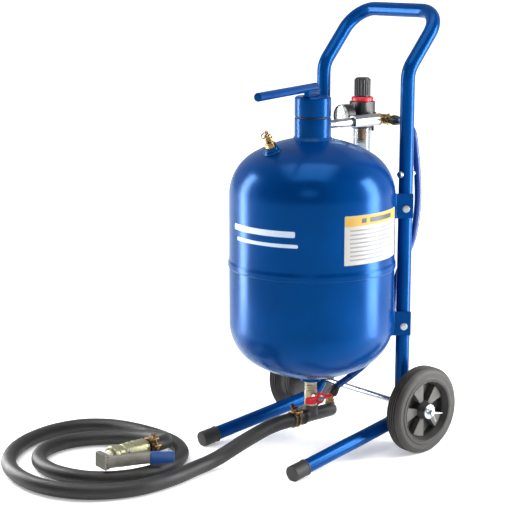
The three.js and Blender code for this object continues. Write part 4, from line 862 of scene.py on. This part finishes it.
reach = math.hypot(FRAME_HALF, UPRIGHT_Y)
for side, word in ((-1, "left"), (1, "right")):
    out = Vector((side * FRAME_HALF, UPRIGHT_Y, 0)).normalized()
    square = Vector((side * out.y, -abs(out.x), 0))
    for level, z0 in zip(("lower", "upper"), BRACKET_Z):
        near = TUBE_R + 0.3
        heights = [z0 + BRACKET_H * i / 10 for i in range(11)]
        edge = [(math.sqrt((tank_radius(z) - 1) ** 2 - near ** 2), z) for z in heights]
        far = reach + BRACKET_OVERHANG
        outline = [*edge, *[tuple(p) for p in eased(
            [edge[-1], (far, z0 + BRACKET_H), (far, z0), edge[0]], 2.5, 4, closed=False)][1:-1]]
        plate = prism(outline, near, near + BRACKET_T)
        # Columns: along the radius, up, and square to the plate on the bracket's side.
        basis = Matrix((out, (0, 0, 1), square)).transposed().to_4x4()
        piece(f"{level}_{word}_bracket", tidied(moved(plate, basis)), "blue_paint",
            bevel=0.6)
        beads = []
        for depth in (near - 0.3, near + BRACKET_T + 0.3):
            line = []
            for z in heights:
                r = math.sqrt((tank_radius(z) + 0.2) ** 2 - depth ** 2)
                line.append(basis.to_3x3() @ Vector((r, z, depth)))
            beads.append(swept(line, [1.7 + 0.3 * math.sin(2.3 * i) for i in range(len(line))], 12))
        piece(f"{level}_{word}_bracket_weld", joined(*beads), "blue_weld")
        place = aimed(-square, (side * FRAME_HALF, UPRIGHT_Y, z0 + BRACKET_BOLT_RISE))
        piece(f"{level}_{word}_bracket_bolt", moved(bolt(3, 10, 4, (-TUBE_R - BRACKET_T - 0.6,
            TUBE_R + 0.3)), place), "zinc", stands_for=[f"bracket_bolt_{level}_{word}"],
            bevel=0.3)
    place = aimed((0, 1, 0), (side * FRAME_HALF, UPRIGHT_Y, JOINT_BOLT_Z))
    piece(f"{word}_handle_bolt", moved(bolt(3, 10, 4, (-TUBE_R - 0.3, TUBE_R + 0.3)), place), "zinc",
        stands_for=[f"handle_bolt_{word}"], bevel=0.25)

# ---- axle and wheels ----
axle_end = HUB_END + 10.3
piece("axle_rod", moved(spun([(0, -axle_end), (AXLE_R, -axle_end), (AXLE_R, axle_end), (0, axle_end)],
    1, 48), aimed((1, 0, 0), (0, AXLE_Y, AXLE_Z))), "zinc_rod", stands_for=["axle"])

tread_in, tread_out = WHEEL_OUT - TYRE_W, WHEEL_OUT
tyre = [(RIM_R + 0.3, tread_in), (RIM_R + 5, tread_in), (RIM_R + 6, tread_in + 1), (66, tread_in + 0.4),
        (70, tread_in + 2), (73.6, tread_in + 5.5)]
for i in range(4):
    x = tread_in + 9 + (TYRE_W - 18) * i / 3
    tyre += [(75, x - 1.3), (72.6, x - 1.0), (72.6, x + 1.0), (75, x + 1.3)]
tyre += [(73.6, tread_out - 5.5), (70, tread_out - 2), (66, tread_out - 0.4),
    (RIM_R + 6, tread_out - 1), (RIM_R + 5, tread_out), (RIM_R + 0.3, tread_out)]
SPOKE_IN = 16
SPOKE_OUT = 45.6
SPOKE_HALF_IN = math.radians(16)
SPOKE_HALF_OUT = math.radians(17)
DISC_FRONT = WHEEL_OUT - 10
DISC_BACK = DISC_FRONT - 14
WEB_FRONT = DISC_BACK + 3
rim_in = RIM_R - 3.5
shell_outline = [(AXLE_R + 0.1, WHEEL_OUT - TYRE_W - 19), (15, WHEEL_OUT - TYRE_W - 19),
    (15, DISC_BACK), (rim_in, DISC_BACK), (rim_in, tread_in), (RIM_R, tread_in), (RIM_R, tread_out),
    (RIM_R - 1.6, tread_out), (RIM_R - 2.4, tread_out - 2), (46, DISC_FRONT - 1), (45, WEB_FRONT),
    (17, WEB_FRONT), (16.5, DISC_FRONT), (12, HUB_END - 2), (11, HUB_END), (AXLE_R + 0.1, HUB_END)]
COTTER_X = HUB_END + 0.3 + 2 + 3.4
for side, word in ((-1, "left"), (1, "right")):
    on_axle = aimed((side, 0, 0), (0, AXLE_Y, AXLE_Z))
    body = f"{word}_wheel"
    piece(f"{word}_wheel_tyre", moved(spun(tyre, 0.7, 144, 3), on_axle), "tyre_rubber",
          body=body, stands_for=[f"{word}_tyre"])
    # The shell's near-black is the hub's dark colour together with painted shade for the recess behind
    # the spokes.
    piece(f"{word}_wheel_shell", moved(spun(shell_outline, 0.8, 128, 3), on_axle), "hub_plastic_painted_shade",
          body=body, stands_for=[f"{word}_wheel_hub"])
    spokes = []
    for i in range(SPOKES):
        middle = math.radians(SPOKE_TURN if side > 0 else SPOKE_TURN + 180) + math.tau * i / SPOKES
        half_in, half_out = SPOKE_HALF_IN, SPOKE_HALF_OUT
        wedge = [polar(SPOKE_IN, middle - half_in)]
        wedge += [polar(SPOKE_OUT, middle + half_out * (k / 4 - 1)) for k in range(9)]
        wedge += [polar(SPOKE_IN, middle + half_in)]
        spokes.append(prism(wedge, WEB_FRONT - 1, DISC_FRONT))
    # The spokes are a lighter grey than the shell as a painted highlight.
    piece(f"{word}_wheel_spokes", moved(joined(*spokes), on_axle), "spoke_plastic_painted_highlight",
        body=body, bevel=0.7)
    piece(f"{word}_axle_washer", moved(spun([(AXLE_R + 0.3, HUB_END + 0.3), (12.5, HUB_END + 0.3),
        (12.5, HUB_END + 2.3), (AXLE_R + 0.3, HUB_END + 2.3)], 0.4, 64), on_axle), "zinc",
        stands_for=[f"{word}_washer"])
    legs = [swept(bent([(0, y, 9), (0, y, -6), (0, y + reach_y, -6 - reach_z)], [3], 6), 0.95, 12)
            for y, reach_y, reach_z in ((-0.9, -8, 14), (0.9, 9, 20))]
    eye = [Vector((0, 2.9 * math.sin(a), 11 - 2.6 * math.cos(a))) for a in [math.tau * k / 24
        for k in range(1, 24)]]
    pin = joined(*legs, swept(eye, 0.95, 12))
    piece(f"{word}_split_pin", moved(pin, Matrix.Translation((side * COTTER_X, AXLE_Y,
        AXLE_Z)) @ about(math.radians(55), "X")), "zinc",
        stands_for=[f"{word}_cotter_pin"])

# ---- media valve and mixing tee ----
outlet_z = head(17, 0, -1, SHELL_BOTTOM)[-1][1]
piece("outlet_socket", spun([(6.5, 116.3), (17, 116.3), (17, outlet_z + 1), (6.5, outlet_z + 1)], 1,
    64), "blue_paint", stands_for=["outlet_boss"])
piece("outlet_weld", ring_bead(17, 2, outlet_z + 0.2, 64), "blue_weld")
valve_outline = [(5, 72.3), (VALVE_R, 72.3), (VALVE_R, 79)]
for z in (81, 100, 104.4, 108.8):
    valve_outline += [(VALVE_R, z), (VALVE_R - 1.6, z + 0.8), (VALVE_R - 1.6, z + 2.2),
        (VALVE_R, z + 3)]
valve_outline += [(VALVE_R, 116), (5, 116)]
ACROSS_BALL = aimed((1, 0, 0), (0, 0, BALL_Z))
stem_boss = eased([(3, 9), (6.5, 9), (6.5, 16.5), (5.6, 18), (3, 18)], 0.6)
piece("media_valve_casting", joined(spun(valve_outline, 0.5, 64, 3),
                                    moved(turned(stem_boss, 40), ACROSS_BALL)),
      "valve_cast", stands_for=["media_valve_body"])
piece("media_valve_stem", joined(moved(spun([(0, 7), (2.8, 7), (2.8, 31), (2.2, 32), (0, 32)], 0.3, 24),
    ACROSS_BALL), moved(spun([(0, -7.2), (3, -6.6), (5.2, -5), (6.8, -2.4), (7.2, 0), (6.8, 2.4),
    (5.2, 5), (3, 6.6), (0, 7.2)], 1, 32), Matrix.Translation((0, 0, BALL_Z)))), "zinc",
    body="media_handle", stands_for=["media_valve_ball"])


def arc(cx, cy, r, a0, a1, steps=10):
    """Points of an arc, in degrees."""
    angles = [math.radians(a0 + (a1 - a0) * k / steps) for k in range(steps + 1)]
    return [(cx + r * math.cos(a), cy + r * math.sin(a)) for a in angles]


# Seen along -X: the broad wing points to -Y and the slim one to +Y.
butterfly = [*arc(0, 0, 10.5, 25, 155), (-30, 7), *arc(-29, 0, 6, 115, 245), (-12, -8.5),
    *arc(0, 0, 10.5, 215, 335), (24, -3), *arc(24, 0, 3, -90, 90)]
stand = Matrix(((0, 0, 1, 23), (1, 0, 0, 0), (0, 1, 0, BALL_Z), (0, 0, 0, 1)))
ridge = [prism(eased([(-27, -2), (-12, -3), (-12, 3), (-27, 2)], 1.5), 2.2, 3.4),
    prism(arc(0, 0, 6.5, 0, 345, 24), 2.2, 3.2)]
piece("butterfly_handle", moved(joined(prism(butterfly, 0, 2.4), *ridge), stand), "red_dip",
    body="media_handle", stands_for=["media_valve_handle"], bevel=0.5)
piece("butterfly_nut", joined(
    moved(prism(eased(ring_of(6, 4.6), 0.4, 2), 26.3, 30), ACROSS_BALL),
    moved(spun([(2.9, 25.8), (5.6, 25.8), (5.6, 26.5), (2.9, 26.5)], 0.2, 32), ACROSS_BALL)),
    "zinc", body="media_handle", stands_for=["media_handle_nut"], bevel=0.25)

tee_outline = eased([(0, TEE_FRONT), (TEE_R, TEE_FRONT), (TEE_R, TEE_REAR - 7),
    (TEE_R - 2.5, TEE_REAR - 2), (TEE_R - 6, TEE_REAR), (0, TEE_REAR)], 2.5, 5, closed=False)
saddle = eased([(0, TEE_Z), (VALVE_R + 3, TEE_Z), (VALVE_R + 1.5, TEE_Z + 9), (VALVE_R + 1.5, 72),
    (0, 72)], 1.5, closed=False)
air_boss = eased([(0, TEE_Z), (9.5, TEE_Z), (8.5, TEE_Z + 8), (8.5, 68), (0, 68)], 1, closed=False)
piece("mixing_tee_casting", joined(
    moved(turned(tee_outline, 64), aimed((0, 1, 0), (0, 0, TEE_Z))), turned(saddle, 48),
    moved(turned(air_boss, 40), Matrix.Translation((0, AIR_PORT_Y, 0)))), "grey_iron",
    stands_for=["mixing_tee"])
cuff = [(6.5, 0)]
for i in range(3):
    cuff += [(HOSE_R + 0.8, 2.7 * i), (HOSE_R + 0.8, 2.7 * i + 1.7), (HOSE_R - 0.8, 2.7 * i + 2),
        (HOSE_R - 0.8, 2.7 * i + 2.5)]
cuff += [(6.5, COLLAR_LENGTH)]
piece("hose_cuff", moved(spun(cuff, 0.6, 64, 3), aimed((0, 1, 0), (0, hose_start_y, TEE_Z))),
      "hose_rubber")

# ---- air side ----
hose_down = Vector((0.26, 0.42, 0.87)).normalized()
knee = Vector((0, AIR_PORT_Y, 76))
elbow_line = bent([(0, AIR_PORT_Y, 68.3), knee, knee + hose_down * 6], [8], 8)
nut_low = elbow_line[-1] + hose_down * 0.3
piece("brass_elbow", joined(swept(elbow_line, 6.1, 32), moved(prism(eased(ring_of(6, 8.2), 0.6), 68.3,
    73), Matrix.Translation((0, AIR_PORT_Y, 0)))), "brass", stands_for=["air_elbow"],
    bevel=0.4)
AIR_ROUTE = [
    (34.3, 165, 556), (54, 165, 555.5), (73, 164, 541), (85, 160, 508), (94, 157, 460), (96, 156, 415),
    (88, 154, 360), (74, 148, 320), (63, 143, 285), (58, 141, 245), (54, 138, 200), (45, 125, 162),
    (32, 101, 134), (17, 74, 110), nut_low + hose_down * 15, nut_low + hose_down * 10]
piece("air_hose_tube", swept(through(AIR_ROUTE, 10), AIR_HOSE_R, 28), "air_hose",
    stands_for=["air_hose"])
nut = spun([(4, 0), (8.2, 0), (8.2, 10), (7.4, 14), (6.4, 19), (4, 19)], 0.7, 40)
knurl = [moved(block((7.8, -0.5, 1.2), (8.7, 0.5, 9.4)), about(math.tau * i / 18)) for i in range(18)]
nuts = joined(nut, *knurl)
second = nuts.copy()
piece("air_hose_nuts", joined(moved(nuts, aimed(hose_down, nut_low)),
    moved(second, aimed((1, 0, 0), (24.3, AIR_TEE_Y, AIR_Z)))), "black_plastic",
    bevel=0.2)

on_y = aimed((0, 1, 0), (0, 0, AIR_Z))
on_x = aimed((1, 0, 0), (0, AIR_TEE_Y, AIR_Z))
nipple = [spun([(4.6, NECK_BORE_R + 1), (7, NECK_BORE_R + 1), (7, 88), (6.4, 90.5), (4.6, 90.5)], 0.5,
    48)]
piece("manifold_pipe", moved(joined(*nipple), on_y), "zinc",
    stands_for=["manifold_nipple"])
piece("manifold_thread", moved(joined(turned([(6.2, 86), (7.6, 86), (7.6, 90.6), (6.2, 90.6)], 40)),
    on_y), "gasket_rubber")
piece("manifold_union", moved(spun([(7.3, 91), (9.2, 91), (10.3, 92.6), (10.3, 151.4), (9.2, 153),
    (7.3, 153)], 0.8, 64), on_y), "zinc", stands_for=["manifold_sleeve"])
piece("neck_pipe_weld", moved(ring_bead(7.8, 1.8, NECK_R - 1.2, 40), on_y), "blue_weld")
run = spun([(0, -34), (6.2, -34), (6.2, -20), (8, -19), (8.6, -12), (8.6, 12), (8, 19), (7.4, 24),
    (0, 24)], 0.8, 48)
branch = spun([(0, 140), (7, 140), (7, 151), (10.4, 153.3), (10.4, 157.5), (8.8, 159), (8.8, 165),
    (0, 165)], 0.8, 48)
hexes = [prism(eased(ring_of(6, 10.6, math.radians(30)), 0.9), x0, x1) for x0,
    x1 in ((-20, -13), (13, 20))]
piece("brass_tee", joined(moved(joined(run, *hexes), on_x), moved(branch, on_y)), "brass",
      stands_for=["manifold_tee"], bevel=0.4)

AT_REG = Matrix.Translation((REG_X, AIR_TEE_Y, 0))
reg_square = eased([(-20, -20), (20, -20), (20, 20), (-20, 20)], 16, 8)
reg_parts = [prism(reg_square, REG_BOTTOM + 2, REG_TOP), prism(eased([(-18, -18), (18, -18), (18, 18),
    (-18, 18)], 15, 8), REG_BOTTOM, REG_BOTTOM + 2.4), spun([(15.8, 536), (18.6, 536), (18.6, 544.5),
    (15.8, 544.5)], 0.8, 64), turned([(0, REG_TOP - 1), (12, REG_TOP - 1), (12, REG_TOP + 8),
    (0, REG_TOP + 8)], 40), turned([(0, REG_TOP), (5, REG_TOP), (5, REG_TOP + 22), (0, REG_TOP + 22)],
    24)]
reg_parts += [moved(block((-0.8, 17.8, 536.6), (0.8, 19.2, 543.4)),
    about(math.tau * i / 16)) for i in range(16)]
reg_parts += [moved(prism(eased(ring_of(8, 10.4), 1), 19, 20.8),
    aimed((x, 0, 0), (0, 0, AIR_Z))) for x in (-1, 1)]
reg_parts += [block((x, y, 548), (x + 1.6, y + 1.2, 579)) for x in (-4, 2.4) for y in (-20.7, 19.5)]
reg_parts.append(moved(block((16.5, -3.2, 531), (21, 3.2, 541)), about(math.radians(42))))
piece("regulator_housing", moved(joined(*reg_parts), AT_REG), "black_plastic",
      stands_for=["regulator_body"], bevel=0.7)
ring_parts = [spun([(12.3, REG_TOP + 0.3), (18.6, REG_TOP + 0.3), (19, REG_TOP + 2),
    (19, REG_TOP + 6.4), (18, REG_TOP + 8), (12.3, REG_TOP + 8)], 0.8, 96)]
ring_parts += [moved(block((18.6, -1.3, REG_TOP + 1.4), (19.6, 1.3, REG_TOP + 7)),
    about(math.tau * i / 12)) for i in range(12)]
piece("regulator_lock_ring", moved(joined(*ring_parts), AT_REG), "red_plastic",
      stands_for=["regulator_ring"], bevel=0.4)
flutes = 20
KNOB_R = 14.1
FLUTE_DEPTH = 0.55
knob_outline = []
for i in range(flutes * 8):
    a = math.tau * i / (flutes * 8)
    knob_outline.append(polar(KNOB_R + FLUTE_DEPTH * math.tanh(2.2 * math.cos(flutes * a)), a))
knob_parts = [prism(knob_outline, KNOB_Z + 2, KNOB_Z + 30),
              spun([(5.4, KNOB_Z), (14, KNOB_Z), (14, KNOB_Z + 3), (5.4, KNOB_Z + 3)], 0.8, 80),
              spun([(0, KNOB_Z + 29), (13.2, KNOB_Z + 29), (12.4, KNOB_Z + 32.2), (10.6, KNOB_Z + 33),
                            (9.6, KNOB_Z + 31.6), (0, KNOB_Z + 31.2)], 1.2, 80)]
piece("pressure_knob_grip", moved(joined(*knob_parts), AT_REG), "knob_plastic",
    body="pressure_knob", stands_for=["regulator_knob"], bevel=0.35)
bowl_outline = eased([(3, BOWL_BOTTOM), (BOWL_R - 6, BOWL_BOTTOM), (BOWL_R - 0.8, BOWL_BOTTOM + 5),
    (BOWL_R, BOWL_BOTTOM + 12), (BOWL_R, 541), (BOWL_R - 2, 541), (BOWL_R - 2, BOWL_BOTTOM + 13),
    (BOWL_R - 6.5, BOWL_BOTTOM + 3), (3, BOWL_BOTTOM + 2.4)], 2, 5)
piece("filter_bowl_clear", moved(turned(bowl_outline, 80), AT_REG), "clear",
    stands_for=["filter_bowl"])
marks = [moved(block((BOWL_R - 0.1, -2.4 - (i % 3 == 0) * 1.6, 488 + 4.5 * i),
    (BOWL_R + 0.25, 2.4, 488.9 + 4.5 * i)), about(math.radians(-62))) for i in range(9)]
piece("bowl_level_marks", moved(joined(*marks), AT_REG), "ink_grey")
element = [spun([(3.5, 514), (7, 514), (7, 534), (3.5, 534)], 0.8, 40)]
piece("filter_element_bronze", moved(joined(*element), AT_REG), "bronze",
    stands_for=["filter_element"])
piece("filter_element_holder", moved(joined(
    spun([(0, 509), (9.5, 509), (9.5, 512), (4, 513.8), (0, 513.8)], 0.6, 48),
    spun([(0, 534.2), (9, 534.2), (10.5, 537), (10.5, 541), (0, 541)], 0.6, 48)), AT_REG),
    "dial")
piece("bowl_drain_cock", moved(joined(spun([(0, 460), (3.2, 460), (4, 461), (4, 466.8), (2.7, 467),
    (2.7, 475), (0, 475)], 0.4, 32), ring_bead(4, 0.45, 462.5, 32), ring_bead(4, 0.45, 464.3, 32)),
    AT_REG), "brass", body="drain", stands_for=["bowl_drain"])
plug_outline = eased([(2.5, 12.3), (6.3, 12.3), (6.3, 20.3), (8, 20.3), (8, 29), (5.5, 30), (5.5, 38),
    (4.4, 40), (4.4, 44), (6, 45), (6, 49), (4.6, 54), (2.5, 54)], 0.5, 3)
piece("quick_plug", moved(turned(plug_outline, 48), aimed((-1, 0, 0), (REG_X, AIR_TEE_Y, AIR_Z))),
    "zinc", stands_for=["inlet_plug"])

AT_GAUGE = aimed((0, 1, 0), (REG_X, 0, GAUGE_Z))
case_outline = eased([(0, GAUGE_FRONT + 6), (GAUGE_R - 1.5, GAUGE_FRONT + 6),
    (GAUGE_R - 1.5, GAUGE_FRONT + 0.4), (GAUGE_R - 0.9, GAUGE_FRONT), (GAUGE_R, GAUGE_FRONT + 0.6),
    (GAUGE_R, GAUGE_FRONT + 17), (GAUGE_R - 3, GAUGE_FRONT + 20), (7, GAUGE_FRONT + 20),
    (6, GAUGE_FRONT + 22), (5, GAUGE_FRONT + 24), (5, 152.5), (0, 152.5)], 0.5, 3, closed=False)
piece("gauge_housing", moved(turned(case_outline, 96), AT_GAUGE), "black_plastic",
    stands_for=["gauge_case"])
piece("gauge_face", moved(spun([(1.2, GAUGE_FRONT + 4.6), (18.3, GAUGE_FRONT + 4.6),
    (18.3, GAUGE_FRONT + 5.7), (1.2, GAUGE_FRONT + 5.7)], 0.2, 80), AT_GAUGE), "dial",
    stands_for=["gauge_dial"])
ticks = []
for i in range(31):
    longer = 2.2 if i % 5 == 0 else 0
    tick = block((-0.22 - longer * 0.08, 14.4 - longer, GAUGE_FRONT + 4.2),
        (0.22 + longer * 0.08, 16.6, GAUGE_FRONT + 4.65))
    ticks.append(moved(tick, about(math.radians(45 + 9 * i))))
piece("gauge_scale", moved(joined(*ticks), AT_GAUGE), "ink_dark")
needle = prism([(-1.1, -5), (1.1, -5), (0.5, 0), (0.25, 14), (-0.25, 14), (-0.5, 0)], GAUGE_FRONT + 3.1,
    GAUGE_FRONT + 3.8)
hub = spun([(0, GAUGE_FRONT + 2.6), (2.3, GAUGE_FRONT + 2.8), (2.3, GAUGE_FRONT + 4),
    (0.9, GAUGE_FRONT + 4.1), (0.9, GAUGE_FRONT + 5.5), (0, GAUGE_FRONT + 5.5)], 0.3, 32)
piece("gauge_needle_blade", moved(joined(moved(needle, about(math.radians(45))), hub), AT_GAUGE),
      "ink_dark", body="pointer", stands_for=["gauge_pointer"])
piece("gauge_glass", moved(spun([(0, GAUGE_FRONT + 0.2), (10, GAUGE_FRONT + 0.35),
    (18.4, GAUGE_FRONT + 0.9), (18.4, GAUGE_FRONT + 1.9), (0, GAUGE_FRONT + 1.5)], 0.3, 80), AT_GAUGE),
    "lens", stands_for=["gauge_lens"])


# ---- floor, world and lights ----
ground = bmesh.new()
bmesh.ops.create_grid(ground, x_segments=2, y_segments=2, size=60)
floor_mesh = bpy.data.meshes.new("floor")
ground.to_mesh(floor_mesh)
ground.free()
floor = bpy.data.objects.new("floor", floor_mesh)
scene.collection.objects.link(floor)
floor_look, floor_tree, floor_shader, floor_place = start("matt_white_sweep", "#fbfbfb", Roughness=0.95)
# The sheet glows more the farther it is, as a lit studio sweep does where it curves up.
away = add(floor_tree, "ShaderNodeVectorMath", {0: floor_place}, operation="LENGTH")
glow = add(floor_tree, "ShaderNodeMapRange", {
    "Value": away.outputs["Value"], "From Min": 0.7, "From Max": 3.0, "To Min": 0.3, "To Max": 1.05},
    interpolation_type="SMOOTHSTEP")
floor_shader.inputs["Emission Color"].default_value = (1, 1, 1, 1)
floor_tree.links.new(glow.outputs["Result"], floor_shader.inputs["Emission Strength"])
floor_mesh.materials.append(floor_look)

world = bpy.data.worlds.new("studio")
world.use_nodes = True
sky = world.node_tree
backdrop = sky.nodes["Background"]
backdrop.inputs["Color"].default_value = (1, 1, 1, 1)
# White to look at and through clear plastic; a dim room with a bright wall behind to be lit by.
ray = add(sky, "ShaderNodeLightPath")
through_clear = add(sky, "ShaderNodeMath", {0: ray.outputs["Is Transmission Ray"], 1: 0.8},
                    operation="MULTIPLY")
seen = add(sky, "ShaderNodeMath", {0: ray.outputs["Is Camera Ray"], 1: through_clear.outputs["Value"]},
           operation="MAXIMUM")
way = add(sky, "ShaderNodeTexCoord").outputs["Generated"]
behind = add(sky, "ShaderNodeVectorMath", {0: way, 1: (-0.73, 0.68, 0.1)}, operation="DOT_PRODUCT")
room = add(sky, "ShaderNodeMapRange", {"Value": behind.outputs["Value"], "From Min": -0.1,
    "From Max": 0.7, "To Min": 0.13, "To Max": 0.55}, interpolation_type="SMOOTHSTEP")
bright = add(sky, "ShaderNodeMath", {0: seen.outputs["Value"], 1: room.outputs["Result"]},
    operation="MAXIMUM")
sky.links.new(bright.outputs["Value"], backdrop.inputs["Strength"])
scene.world = world


def soft_box(name, at, aim, size, power):
    """A rectangular studio light."""
    lamp = bpy.data.lights.new(name, "AREA")
    lamp.shape = "RECTANGLE"
    lamp.size, lamp.size_y = size
    lamp.energy = power
    placed = bpy.data.objects.new(name, lamp)
    placed.visible_camera = False
    placed.matrix_world = Matrix.Translation(at) @ (Vector(aim) - Vector(at)).to_track_quat("-Z",
        "Y").to_matrix().to_4x4()
    scene.collection.objects.link(placed)


MIDDLE = (0, 0, 0.35)
soft_box("left_strip", (-0.78, -0.56, 0.52), (0, 0, 0.52), (0.22, 1.04), 15)
soft_box("right_strip", (0.68, 0.66, 0.52), (0, 0, 0.52), (0.3, 1.04), 22)
soft_box("top_light", (0.3, -0.5, 3.0), (0, -0.2, 0), (2.2, 2.2), 60)
soft_box("front_fill", (2.2, -2.4, 1.9), MIDDLE, (1.2, 0.9), 8)

scene.view_settings.view_transform = "Standard"
scene.view_settings.look = "None"
